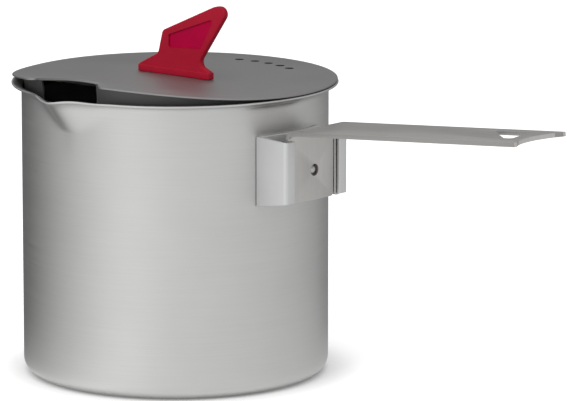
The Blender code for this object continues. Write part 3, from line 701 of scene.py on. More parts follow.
class Finish(Nodes):
    """A procedural material, built up over a Principled shader."""

    def __init__(self, name, color, roughness, metallic=0.0):
        self.material = bpy.data.materials.new(name)
        self.material.use_nodes = True
        super().__init__(self.material.node_tree)
        self.shader = self.tree.nodes["Principled BSDF"]
        self.color = color
        self.shader.inputs["Base Color"].default_value = (*color, 1.0)
        self.shader.inputs["Metallic"].default_value = metallic
        self.shader.inputs["Roughness"].default_value = roughness
        self.surface = self.tree.nodes["Material Output"].inputs["Surface"]
        self.place = self.node("ShaderNodeTexCoord").outputs["Object"]
        self.height = None

    def noise(self, scale, detail=3.0, stretch=(1.0, 1.0, 1.0), roughness=0.55):
        """Noise over the piece, stretched along its axes. scale is features per metre."""
        mapping = self.node("ShaderNodeMapping")
        mapping.inputs["Scale"].default_value = stretch
        self.link(self.place, mapping.inputs["Vector"])
        texture = self.node("ShaderNodeTexNoise", Scale=scale, Detail=detail, Roughness=roughness)
        self.link(mapping.outputs["Vector"], texture.inputs["Vector"])
        return texture.outputs["Fac"]

    def varied(self, value, amount, span=NOISE_SPAN, middle=1.0):
        """A noise carried to a value that strays from its middle by an amount."""
        return self.between(value, *span, middle - amount, middle + amount)

    def shade(self, value):
        """The finish's colour multiplied by a value that lies round 1."""
        scale = self.node("ShaderNodeVectorMath", operation="SCALE")
        scale.inputs[0].default_value = self.color
        self.link(value, scale.inputs["Scale"])
        self.link(scale.outputs["Vector"], self.shader.inputs["Base Color"])

    def roughen(self, value):
        """Lets a value set the roughness."""
        self.link(value, self.shader.inputs["Roughness"])

    def relief(self, value, depth, distance):
        """Bump of a strength over what is there already. distance is its height in metres."""
        bump = self.node("ShaderNodeBump", Strength=depth, Distance=distance)
        self.link(value, bump.inputs["Height"])
        if self.height is not None:
            self.link(self.height, bump.inputs["Normal"])
        self.height = bump.outputs["Normal"]
        self.link(self.height, self.shader.inputs["Normal"])


def brushed(name, color, roughness, stretch, grain=0.06, mottle=0.04, depth=0.12):
    """Brushed metal: fine streaks along one way, under faint clouds."""
    finish = Finish(name, color, roughness, metallic=1.0)
    streaks = finish.noise(1.0, 4.0, stretch, STREAK_CRISPNESS)
    finer = [FINE_STREAK_SCALE * scale for scale in stretch]
    fine = finish.noise(1.0, 2.0, finer, STREAK_CRISPNESS)
    both = finish.math("ADD", streaks, finish.math("MULTIPLY", fine, FINE_STREAK_SHARE))
    clouds = finish.varied(finish.noise(BRUSHED_CLOUDS, 2.0), mottle)
    finish.shade(finish.math("MULTIPLY", finish.varied(both, grain, STREAK_SPAN), clouds))
    finish.roughen(finish.varied(both, BRUSHED_DRIFT, STREAK_SPAN, middle=roughness))
    finish.relief(both, depth, STREAK_HEIGHT)
    return finish.material


def blasted(name, color, roughness, mottle=0.04, depth=0.10):
    """Matt metal: a fine even grain with faint clouds."""
    finish = Finish(name, color, roughness, metallic=1.0)
    grain = finish.noise(BLASTED_GRAIN, 2.0)
    clouds = finish.noise(BLASTED_CLOUDS, 3.0)
    both = finish.math("MULTIPLY", finish.varied(grain, mottle), finish.varied(clouds, mottle))
    finish.shade(both)
    finish.roughen(finish.varied(clouds, BLASTED_DRIFT, middle=roughness))
    finish.relief(grain, depth, GRAIN_HEIGHT)
    return finish.material


def silicone(name, color, shine):
    """Matt moulded silicone: a very fine bloom and faint clouds."""
    finish = Finish(name, color, SILICONE_ROUGHNESS)
    bloom = finish.noise(SILICONE_BLOOM, 2.0)
    clouds = finish.noise(SILICONE_CLOUDS, 3.0)
    fine = finish.varied(bloom, SILICONE_BLOOM_MOTTLE)
    cloudy = finish.varied(clouds, SILICONE_CLOUD_MOTTLE)
    finish.shade(finish.math("MULTIPLY", fine, cloudy))
    finish.roughen(finish.varied(clouds, SILICONE_DRIFT, middle=SILICONE_ROUGHNESS))
    finish.relief(bloom, SILICONE_RELIEF, GRAIN_HEIGHT)
    finish.shader.inputs["Specular IOR Level"].default_value = shine
    return finish.material


def darker(color, share):
    """A colour with only a share of its light left."""
    return [share * part for part in color]


def use_second_finish(obj, picks):
    """Gives the faces that are picked a piece's second finish."""
    for face in obj.data.polygons:
        if picks(face):
            face.material_index = 1


def bump_at(value, middle, width):
    """A smooth bump that is 1 at its middle."""
    return math.exp(-(((value - middle) / width) ** 2))


def turn_columns():
    """Azimuths of the turned columns, closer together at the spout."""
    turns = spread(0.0, math.tau, TURN_COLUMNS)
    return [SPOUT_AZIMUTH + turn - TURN_CROWDING * math.sin(turn) for turn in turns]


def round_columns():
    """Evenly spaced azimuths of a small turned piece."""
    return spread(0.0, math.tau, ROUND_COLUMNS)


def pot_point(radius, height, azimuth):
    """A point of the pot, with the spout pressed out of its wall and lip."""
    if height > SPOUT_FOOT:
        away = abs(math.remainder(azimuth - SPOUT_AZIMUTH, math.tau))
        fade = (height - SPOUT_FOOT) / SPOUT_DEPTH
        lip = max(0.0, (radius - BODY_RADIUS) / LIP_REACH)
        width = SPOUT_SPREAD * (SPOUT_FOOT_SHARE + (1 - SPOUT_FOOT_SHARE) * fade)
        radius += SPOUT_REACH * fade**SPOUT_FADE_POWER * bump_at(away, 0.0, width)
        radius -= WAIST_DEPTH * lip * bump_at(away, WAIST_ANGLE, WAIST_SPREAD)
        radius -= TIP_TRIM * lip * bump_at(away, 0.0, TIP_SPREAD)
        height += SHOULDER_RISE * fade**3 * bump_at(away, SHOULDER_ANGLE, SHOULDER_SPREAD)
    return upright(radius, height, azimuth)


def pot_profile():
    """The pot's section, up the inside, over the lip and down the outside."""
    corner = BASE_CORNER_RADIUS
    inner_corner = corner - POT_SHEET
    floor_radius = POT_INNER_RADIUS - inner_corner
    rings = spread(corner + WALL_START, SPOUT_FOOT, LOWER_WALL_RINGS)
    rings += spread(SPOUT_FOOT, LIP_ARC_HEIGHT, UPPER_WALL_RINGS)
    lip_center = (LIP_ARC_RADIUS, LIP_ARC_HEIGHT)
    edge_center = (RIM_RADIUS - POT_SHEET / 2, POT_HEIGHT - POT_SHEET / 2)
    profile = [(0.0, POT_SHEET)]
    profile += [(share * floor_radius, POT_SHEET) for share in FLOOR_RING_SHARES]
    profile += arc((floor_radius, POT_SHEET + inner_corner), inner_corner, -90, 0)
    profile += [(POT_INNER_RADIUS, z) for z in rings]
    profile += arc(lip_center, LIP_FILLET + POT_SHEET, 180, 90)
    profile += arc(edge_center, POT_SHEET / 2, 90, -90)
    profile += arc(lip_center, LIP_FILLET, 90, 180)
    profile += [(BODY_RADIUS, z) for z in reversed(rings)]
    profile += arc((BODY_RADIUS - corner, corner), corner, 0, -90)
    profile += [(share * (BODY_RADIUS - corner), 0.0) for share in reversed(FLOOR_RING_SHARES)]
    profile += [(0.0, 0.0)]
    return profile


def crown(radius):
    """How far the lid's plate stands above its flange."""
    return LID_CROWN * (1 - (radius / SKIRT_RADIUS) ** 2)


def lid_lift(radius, azimuth):
    """How far the lid's sheet is pressed up at a point: a visor, and a hood at the window."""
    toward_spout = radius * math.cos(azimuth - SPOUT_AZIMUTH - VISOR_TURN)
    visor = VISOR_RISE * max(0.0, toward_spout / LID_RADIUS) ** VISOR_POWER
    rising = (radius - HOOD_START) / (SKIRT_RADIUS - HOOD_START)
    falling = (LID_RADIUS - radius) / (LID_RADIUS - SKIRT_RADIUS)
    share = max(0.0, min(rising, falling, 1.0))
    away = math.remainder(azimuth - SPOUT_AZIMUTH, math.tau)
    return visor + HOOD_RISE * share * bump_at(away, HOOD_TURN, HOOD_SPREAD)


def lid_point(radius, height, azimuth):
    """A point of the lid, curled up with the visor. The skirt keeps its lower edge."""
    share = (height - SKIRT_BOTTOM) / (LID_SEAT - SKIRT_BOTTOM)
    return upright(radius, height + lid_lift(radius, azimuth) * min(1.0, share), azimuth)


def lid_profile():
    """The lid's section, from under its middle round the skirt and flange to its top."""
    skirt_top = SKIRT_RADIUS - LID_SHEET
    rings = [skirt_top * i / PLATE_RINGS for i in range(1, PLATE_RINGS)]
    inner_fit = SKIRT_FIT_RADIUS - LID_SHEET
    half = LID_SHEET / 2
    profile = [(0.0, LID_UNDERSIDE)]
    profile += [(r, LID_SEAT + crown(r)) for r in rings]
    profile += [(skirt_top, LID_SEAT + crown(skirt_top))]
    profile += [(inner_fit, z) for z in (LIP_ARC_HEIGHT + SKIRT_BAND, LIP_ARC_HEIGHT)]
    profile += [(inner_fit - SKIRT_TAPER, SKIRT_BOTTOM)]
    profile += [(SKIRT_FIT_RADIUS - SKIRT_TAPER, SKIRT_BOTTOM)]
    profile += [(SKIRT_FIT_RADIUS, z) for z in (LIP_ARC_HEIGHT, LIP_ARC_HEIGHT + SKIRT_BAND)]
    profile += [(SKIRT_RADIUS, LID_SEAT)]
    under = spread(SKIRT_RADIUS + FLANGE_START, LID_RADIUS - half, FLANGE_RINGS)
    profile += [(r, LID_SEAT) for r in under]
    profile += arc((LID_RADIUS - half, LID_SEAT + half), half, -90, 90)
    over = spread(LID_RADIUS - half, SKIRT_RADIUS, FLANGE_TOP_RINGS)[1:]
    profile += [(r, LID_SEAT + LID_SHEET) for r in over]
    profile += [(SKIRT_RADIUS, LID_SEAT + LID_SHEET)]
    profile += [(r, LID_SEAT + LID_SHEET + crown(r)) for r in reversed(rings)]
    profile += [(0.0, LID_TOP)]
    return profile


def window_head(radius, azimuth):
    """The level just under the lid's plate, up to which the pour window opens."""
    return LID_SEAT + crown(radius) + lid_lift(radius, azimuth) - WINDOW_HEAD


def window_cutter():
    """The pour window's cutter: sections wrapped round the skirt, their tops under the plate."""
    inside = SKIRT_FIT_RADIUS - LID_SHEET - SKIRT_TAPER - CLEARANCE
    outside = SKIRT_RADIUS + CLEARANCE
    sill = POT_HEIGHT - WINDOW_SILL
    half = WINDOW_ANGLE * SKIRT_RADIUS
    straight = half - WINDOW_CORNER
    end = [
        (WINDOW_CORNER * (1 - math.cos(turn)), WINDOW_CORNER * (1 - math.sin(turn)))
        for turn in spread(0.0, math.pi / 2, ARC_STEPS) + [math.pi / 2]
    ]
    steps = [(away - half, inset) for away, inset in end[:-1]]
    steps += [(along, 0.0) for along in spread(-straight, straight, CURVE_STEPS)]
    steps += [(half - away, inset) for away, inset in reversed(end)]
    shape = bmesh.new()
    sections = []
    for along, inset in steps:
        azimuth = SPOUT_AZIMUTH + WINDOW_TURN + along / SKIRT_RADIUS
        corners = [(radius, window_head(radius, azimuth) - inset) for radius in (outside, inside)]
        corners = [(inside, sill + inset), (outside, sill + inset)] + corners
        sections.append([shape.verts.new(upright(*corner, azimuth)) for corner in corners])
    for here, there in zip(sections, sections[1:]):
        for i in range(4):
            j = (i + 1) % 4
            shape.faces.new((here[i], here[j], there[j], there[i]))
    shape.faces.new(sections[0][::-1])
    shape.faces.new(sections[-1])
    return as_object("window", shape)


def notch_cutter():
    """Takes away the flange over the pour window, with rounded corners."""
    inner = SKIRT_RADIUS + CLEARANCE
    outer = LID_RADIUS + CUT_THROUGH
    flare = NOTCH_CORNER / LID_RADIUS
    side = []
    for i in range(ARC_STEPS + 1):
        turn = math.pi / 2 * i / ARC_STEPS
        radius = inner + (LID_RADIUS - inner) * math.sin(turn)
        side.append((radius, NOTCH_ANGLE + flare * (1 - math.cos(turn))))
    side.append((outer, NOTCH_ANGLE + flare))
    inner_arc = [(inner, angle) for angle in spread(-NOTCH_ANGLE, NOTCH_ANGLE, CURVE_STEPS)[1:]]
    polar = [(r, -a) for r, a in reversed(side)] + inner_arc + side
    outline = [upright(r, 0.0, SPOUT_AZIMUTH + NOTCH_TURN + a).xy[:] for r, a in polar]
    level = LID_SEAT + lid_lift(LID_RADIUS, SPOUT_AZIMUTH)
    return prism("notch", outline, CUT_THROUGH, "XY", level)


def tab_outline(bottom):
    """The tab's side view: a base strip, a neck and a grip that leans towards the handle."""
    top = bottom + TAB_HEIGHT
    strip_top = bottom + TAB_STRIP_HEIGHT
    corners = [
        (-TAB_BASE_BACK, bottom, TAB_FOOT_CORNER),
        (TAB_BASE_FRONT, bottom, TAB_FOOT_CORNER),
        (TAB_BASE_FRONT - TAB_BASE_DRAFT, strip_top, TAB_STRIP_CORNER),
        (TAB_HEEL_REACH, bottom + TAB_HEEL_HEIGHT, TAB_HEEL_CORNER),
        (TAB_TIP_REACH, top, TAB_TIP_CORNER),
        (TAB_TIP_REACH - TAB_TIP_LENGTH, top, TAB_TIP_BACK_CORNER),
        (-TAB_SHOULDER_REACH, bottom + TAB_SHOULDER_HEIGHT, TAB_SHOULDER_CORNER),
        (-TAB_WAIST_REACH, bottom + TAB_WAIST_HEIGHT, TAB_WAIST_CORNER),
        (-TAB_BASE_BACK + TAB_BASE_DRAFT, strip_top, TAB_STRIP_CORNER),
    ]
    return rounded(corners)


def recess_outline(bottom):
    """The sunk panel on each face of the tab."""
    corners = [
        (-TAB_RECESS_BACK, bottom + TAB_RECESS_BOTTOM),
        (TAB_RECESS_FRONT, bottom + TAB_RECESS_BOTTOM + TAB_RECESS_LIFT),
        (TAB_RECESS_TIP_REACH, bottom + TAB_RECESS_TIP_HEIGHT),
        (-TAB_RECESS_BACK, bottom + TAB_RECESS_BACK_TOP),
    ]
    return rounded([(*corner, TAB_RECESS_CORNER) for corner in corners])


def bracket_outline():
    """The bracket's section from above: a back on the wall, two sides and two front lips."""
    wide = BRACKET_HALF_WIDTH
    narrow = wide - BRACKET_SHEET
    lip = wide - BRACKET_LIP
    lip_back = BRACKET_FRONT - BRACKET_SHEET

    def against_wall(radius, half_width):
        """An arc that follows the round wall."""
        limit = math.degrees(math.asin(half_width / radius))
        return arc((0.0, 0.0), radius, -limit, limit, CURVE_STEPS)

    front = (BRACKET_FRONT, wide)
    front_right = fillet((0.0, wide), front, (BRACKET_FRONT, 0.0), BRACKET_CORNER)
    outline = against_wall(BRACKET_BACK, wide) + front_right
    outline += [(BRACKET_FRONT, lip), (lip_back, lip), (lip_back, narrow)]
    outline += list(reversed(against_wall(BRACKET_BACK_FACE, narrow)))
    outline += [(lip_back, -narrow), (lip_back, -lip), (BRACKET_FRONT, -lip)]
    outline += [(x, -y) for x, y in reversed(front_right)]
    return outline


def leg_corner_cutter(edge, inward):
    """Rounds one lower corner of the leg. The material lies inward (+1 or -1) of the edge."""
    spare = SLIT_WIDTH / 3
    outside = edge - inward * spare
    middle = edge + inward * LEG_CORNER
    outline = [(outside, LEG_BOTTOM - spare), (middle, LEG_BOTTOM - spare)]
    outline += arc((middle, LEG_BOTTOM + LEG_CORNER), LEG_CORNER, 270, 270 - 90 * inward)
    outline += [(outside, LEG_BOTTOM + LEG_CORNER)]
    return prism("leg_corner", outline, CUT_THROUGH, "YZ", LEG_FRONT - HANDLE_SHEET / 2)


def hang_hole_outline():
    """The three-cornered hang hole, its long side along the arm's left edge."""
    right = ARM_END - HANG_HOLE_END
    left_edge = HANDLE_WIDTH / 2 - HANG_HOLE_EDGE
    near_edge = left_edge - HANG_HOLE_WIDTH
    corners = [
        (right - HANG_HOLE_SHORT_SIDE, near_edge),
        (right, near_edge),
        (right - HANG_HOLE_SKEW, left_edge),
        (right - HANG_HOLE_SKEW - HANG_HOLE_LONG_SIDE, left_edge),
    ]
    return rounded([(*corner, HANG_HOLE_CORNER) for corner in corners])


def point_outwards(obj, place):
    """Turns a piece that stands on Z to point along X, away from the pot, at a place."""
    turn = Matrix.Rotation(math.pi / 2, 4, "Y")
    obj.data.transform(Matrix.Translation(place) @ turn)


class CAMPING_POT_OT_wall(Operator):
    """Builds the pot's body with its pressed spout and satin wall"""

    bl_idname = "camping_pot.wall"
    bl_label = "Pot Body"

    def execute(self, context):
        settings = context.scene.camping_pot
        pot = turned("pot_wall", pot_profile(), turn_columns(), pot_point)
        finish = brushed(
            "satin_aluminium",
            settings.wall_color[:],
            settings.wall_roughness,
            WALL_GRAIN,
            grain=0.035,
            mottle=0.015,
            depth=0.10,
        )
        dress(pot, [finish], "pot_body", "pot")
        return {"FINISHED"}


class CAMPING_POT_OT_bracket(Operator):
    """Builds the bent bracket that is riveted to the wall"""

    bl_idname = "camping_pot.bracket"
    bl_label = "Handle Bracket"

    def execute(self, context):
        settings = context.scene.camping_pot_handle
        height = BRACKET_TOP - BRACKET_BOTTOM
        middle = (BRACKET_TOP + BRACKET_BOTTOM) / 2
        bracket = prism("handle_channel", bracket_outline(), height)
        for vertex in bracket.data.vertices:
            share = max(0.0, (vertex.co.x - BRACKET_BACK) / (BRACKET_FRONT - BRACKET_BACK))
            taper = -BRACKET_TOP_TAPER if vertex.co.z > 0 else BRACKET_BOTTOM_TAPER
            vertex.co.z += middle + share * taper
        bevel(bracket, settings.edge_radius)
        color = settings.bracket_color[:]
        finish = blasted("bracket_sheet", color, BRACKET_ROUGHNESS, mottle=0.03)
        dress(bracket, [finish], "handle_bracket", "pot")
        return {"FINISHED"}


class CAMPING_POT_OT_rivets(Operator):
    """Builds the two rivets that hold the bracket, with their domed heads"""

    bl_idname = "camping_pot.rivets"
    bl_label = "Rivets"

    def execute(self, context):
        rivets = (
            ("upper_rivet", UPPER_RIVET_HEIGHT, BRACKET_BACK_FACE + CLEARANCE),
            ("lower_rivet", LOWER_RIVET_HEIGHT, SPRING_BACK + SPRING_SHEET + CLEARANCE),
        )
        head = RIVET_HEAD_DIAMETER / 2
        shank = RIVET_DIAMETER / 2
        wall = math.sqrt(POT_INNER_RADIUS**2 - head**2) - CLEARANCE
        dome = [(head * x, y) for x, y in arc((0.0, 0.0), 1.0, 0, 90)[:-1]]
        finish = blasted("rivet_metal", RIVET_COLOR, RIVET_ROUGHNESS, mottle=0.03, depth=0.06)
        for node, height, seat in rivets:
            profile = [(0.0, seat + RIVET_HEAD_HEIGHT)]
            profile += [(r, seat + RIVET_HEAD_HEIGHT * s) for r, s in reversed(dome)]
            profile += [(shank, seat), (shank, wall)]
            profile += [(r, wall - RIVET_HEAD_HEIGHT * s) for r, s in dome]
            profile += [(0.0, wall - RIVET_HEAD_HEIGHT)]
            rivet = turned(f"{node}_domed", profile, round_columns(), upright)
            point_outwards(rivet, (0.0, 0.0, height))
            dress(rivet, [finish], node, "pot")
        return {"FINISHED"}


class CAMPING_POT_OT_latch_spring(Operator):
    """Builds the leaf spring whose dimple snaps into the handle's leg"""

    bl_idname = "camping_pot.latch_spring"
    bl_label = "Latch Spring"

    def execute(self, context):
        foot = SPRING_BACK + SPRING_SHEET / 2
        face = LEG_BACK - CLEARANCE - SPRING_SHEET / 2
        path = [
            (foot, LOWER_RIVET_HEIGHT - SPRING_FOOT_BELOW),
            (foot, LOWER_RIVET_HEIGHT + SPRING_FOOT_ABOVE),
            (face, LATCH_HEIGHT - SPRING_FLAT),
            (face, LATCH_HEIGHT + SPRING_FLAT),
            (face - SPRING_LEAD_IN, LATCH_HEIGHT + SPRING_FLAT + SPRING_LEAD_IN),
        ]
        outline = bent_strip(path, SPRING_SHEET, SPRING_BEND)
        spring = prism("latch_leaf", outline, SPRING_WIDTH, "XZ")
        combine(spring, drill("hole", RIVET_HOLE, (foot, 0.0, LOWER_RIVET_HEIGHT), "YZ"))
        radius = DIMPLE_DIAMETER / 2
        profile = [(0.0, radius)] + arc((0.0, 0.0), radius, 90, 0)[1:]
        profile += [(radius, -SPRING_SHEET / 2), (0.0, -SPRING_SHEET / 2)]
        dimple = turned("dimple", profile, round_columns(), upright)
        point_outwards(dimple, (face, 0.0, LATCH_HEIGHT))
        combine(spring, dimple, "UNION")
        finish = brushed("spring_strip", SPRING_COLOR, SPRING_ROUGHNESS, SPRING_GRAIN)
        dress(spring, [finish], "latch_spring", "pot")
        return {"FINISHED"}


class CAMPING_POT_OT_handle(Operator):
    """Builds the strip handle: its leg, its arm, the latch hole, the slit and the hang hole"""

    bl_idname = "camping_pot.handle"
    bl_label = "Handle"

    def execute(self, context):
        settings = context.scene.camping_pot_handle
        leg_middle = LEG_FRONT - HANDLE_SHEET / 2
        arm_start = ARM_HEIGHT - HANDLE_SHEET / 2
        arm_end = arm_start + (ARM_END - leg_middle) * math.tan(ARM_RISE)
        path = [(leg_middle, LEG_BOTTOM), (leg_middle, arm_start), (ARM_END, arm_end)]
        outline = bent_strip(path, HANDLE_SHEET, BEND_RADIUS + HANDLE_SHEET / 2)
        handle = prism("handle_strip", outline, HANDLE_WIDTH, "XZ")
        combine(handle, drill("latch", LATCH_HOLE, (leg_middle, 0.0, LATCH_HEIGHT), "YZ"))

        slit_middle = HANDLE_WIDTH / 2 - SLIT_INSET
        slit_size = (CUT_THROUGH, SLIT_WIDTH, 2 * SLIT_TOP)
        combine(handle, block("slit", slit_size, (leg_middle, slit_middle, LEG_BOTTOM)))
        edges = (
            (-HANDLE_WIDTH / 2, 1),
            (HANDLE_WIDTH / 2, -1),
            (slit_middle + SLIT_WIDTH / 2, 1),
            (slit_middle - SLIT_WIDTH / 2, -1),
        )
        for edge, inward in edges:
            combine(handle, leg_corner_cutter(edge, inward))
        combine(handle, prism("hang_hole", hang_hole_outline(), CUT_THROUGH, "XY", arm_end))
        scoop_radius = (SCOOP_HALF_WIDTH**2 + SCOOP_DEPTH**2) / (2 * SCOOP_DEPTH)
        scoop_center = (ARM_END - SCOOP_DEPTH + scoop_radius, 0.0)
        scoop = arc(scoop_center, scoop_radius, 90, 270, SCOOP_STEPS)
        scoop += [(ARM_END + scoop_radius, 0.0)]
        combine(handle, prism("scoop", scoop, CUT_THROUGH, "XY", arm_end))
        bevel(handle, settings.edge_radius, segments=2, angle=40.0)
        color = settings.strip_color[:]
        finish = brushed("brushed_strip", color, STRIP_ROUGHNESS, STRIP_GRAIN, depth=0.16)
        cut = blasted("cut_edge", darker(color, CUT_EDGE_SHADE), CUT_EDGE_ROUGHNESS)
        dress(handle, [finish, cut], "handle", "handle")
        use_second_finish(handle, lambda face: abs(face.normal.y) > CUT_EDGE_SLOPE)
        return {"FINISHED"}


class CAMPING_POT_OT_lid(Operator):
    """Builds the pressed lid with its visor, pour window, tab slot and strainer holes"""

    bl_idname = "camping_pot.lid"
    bl_label = "Lid"

    def execute(self, context):
        settings = context.scene.camping_pot
        lid = turned("lid_plate", lid_profile(), turn_columns(), lid_point)
        combine(lid, window_cutter())
        combine(lid, notch_cutter())
        slot_size = (TAB_NECK_LENGTH + 2 * CLEARANCE, TAB_NECK_THICKNESS + 2 * CLEARANCE)
        combine(lid, block("slot", (*slot_size, CUT_THROUGH), (0.0, 0.0, LID_TOP)))
        for i in range(STRAINER_COUNT):
            azimuth = STRAINER_AZIMUTH + STRAINER_PITCH * (i - (STRAINER_COUNT - 1) / 2)
            place = upright(STRAINER_CIRCLE, LID_TOP, azimuth)
            combine(lid, drill("strainer", STRAINER_DIAMETER, place))
        color = settings.lid_color[:]
        finish = blasted("matt_aluminium", color, settings.lid_roughness)
        # The skirt is the lid's metal, rougher, and darker with painted shade for the shade under
        # the plate.
        skirt_finish_painted_shade = blasted("rough_skirt_painted_shade", darker(color, SKIRT_PAINTED_SHADE), SKIRT_ROUGHNESS)
        dress(lid, [finish, skirt_finish_painted_shade], "lid", "lid", angle=30.0)

        def on_skirt(face):
            """The upright faces under the plate, which get the painted shade."""
            inside = face.center.xy.length < SKIRT_RADIUS + WELD
            return inside and abs(face.normal.z) < SKIRT_SLOPE

        use_second_finish(lid, on_skirt)
        return {"FINISHED"}


class CAMPING_POT_OT_lid_tab(Operator):
    """Builds the silicone tab, with its sunk panels, its neck and its foot under the lid"""

    bl_idname = "camping_pot.lid_tab"
    bl_label = "Lid Tab"

    def execute(self, context):
        settings = context.scene.camping_pot_tab
        bottom = LID_TOP + CLEARANCE
        tab = prism("silicone_tab", tab_outline(bottom), TAB_THICKNESS, "XZ")
        bevel(tab, TAB_EDGE, segments=5)
        base_middle = (TAB_BASE_FRONT - TAB_BASE_BACK) / 2
        base_foot = LID_TOP + WELD
        base_top = bottom + TAB_BASE_HEIGHT
        base_size = (TAB_BASE_FRONT + TAB_BASE_BACK, TAB_BASE_THICKNESS, base_top - base_foot)
        base = block("base", base_size, (base_middle, 0.0, (base_top + base_foot) / 2))
        bevel(base, TAB_BASE_EDGE, segments=4)
        combine(tab, base, "UNION")
        foot_middle = LID_UNDERSIDE - 2 * CLEARANCE - TAB_FOOT_THICKNESS / 2
        neck_top = bottom + TAB_BASE_HEIGHT / 2
        neck_size = (TAB_NECK_LENGTH, TAB_NECK_THICKNESS, neck_top - foot_middle)
        neck = block("neck", neck_size, (0.0, 0.0, (neck_top + foot_middle) / 2))
        combine(tab, neck, "UNION")
        foot_size = (TAB_FOOT_LENGTH, TAB_FOOT_WIDTH, TAB_FOOT_THICKNESS)
        foot = block("foot", foot_size, (0.0, 0.0, foot_middle))
        bevel(foot, TAB_BASE_EDGE, segments=4)
        combine(tab, foot, "UNION")
        for side in (-1, 1):
            level = side * TAB_THICKNESS / 2
            recess = prism("recess", recess_outline(bottom), 2 * TAB_RECESS_DEPTH, "XZ", level)
            combine(tab, recess)
        outer = silicone("red_silicone", settings.tab_color[:], TAB_SHINE)
        sunk = silicone("red_silicone_panel", settings.recess_color[:], RECESS_SHINE)
        dress(tab, [outer, sunk], "lid_tab", "lid")
        panel = TAB_THICKNESS / 2 - TAB_RECESS_DEPTH

        def on_panel(face):
            """The floors of the two recesses."""
            level_with_it = abs(abs(face.center.y) - panel) < WELD
            return level_with_it and abs(face.normal.y) > RECESS_SLOPE

        use_second_finish(tab, on_panel)
        return {"FINISHED"}


def lamp(name, place, side, power):
    """A large soft lamp that faces the middle of the pot. Metal doesn't mirror it."""
    light = bpy.data.lights.new(name, "AREA")
    light.shape = "SQUARE"
    light.size = side
    light.energy = power
    obj = bpy.data.objects.new(name, light)
    bpy.context.scene.collection.objects.link(obj)
    obj.location = place
    way = Vector(POT_MIDDLE) - Vector(place)
    obj.rotation_euler = way.to_track_quat("-Z", "Y").to_euler()
    obj.visible_glossy = False


def around_camera(angle, distance, height):
    """A place round the pot: angle 0 is on the camera's side, and plus is to its right."""
    camera_side = math.radians(-90.0) + CAMERA_TURN[0]
    azimuth = camera_side + math.radians(angle)
    return Vector((distance * math.cos(azimuth), distance * math.sin(azimuth), height))


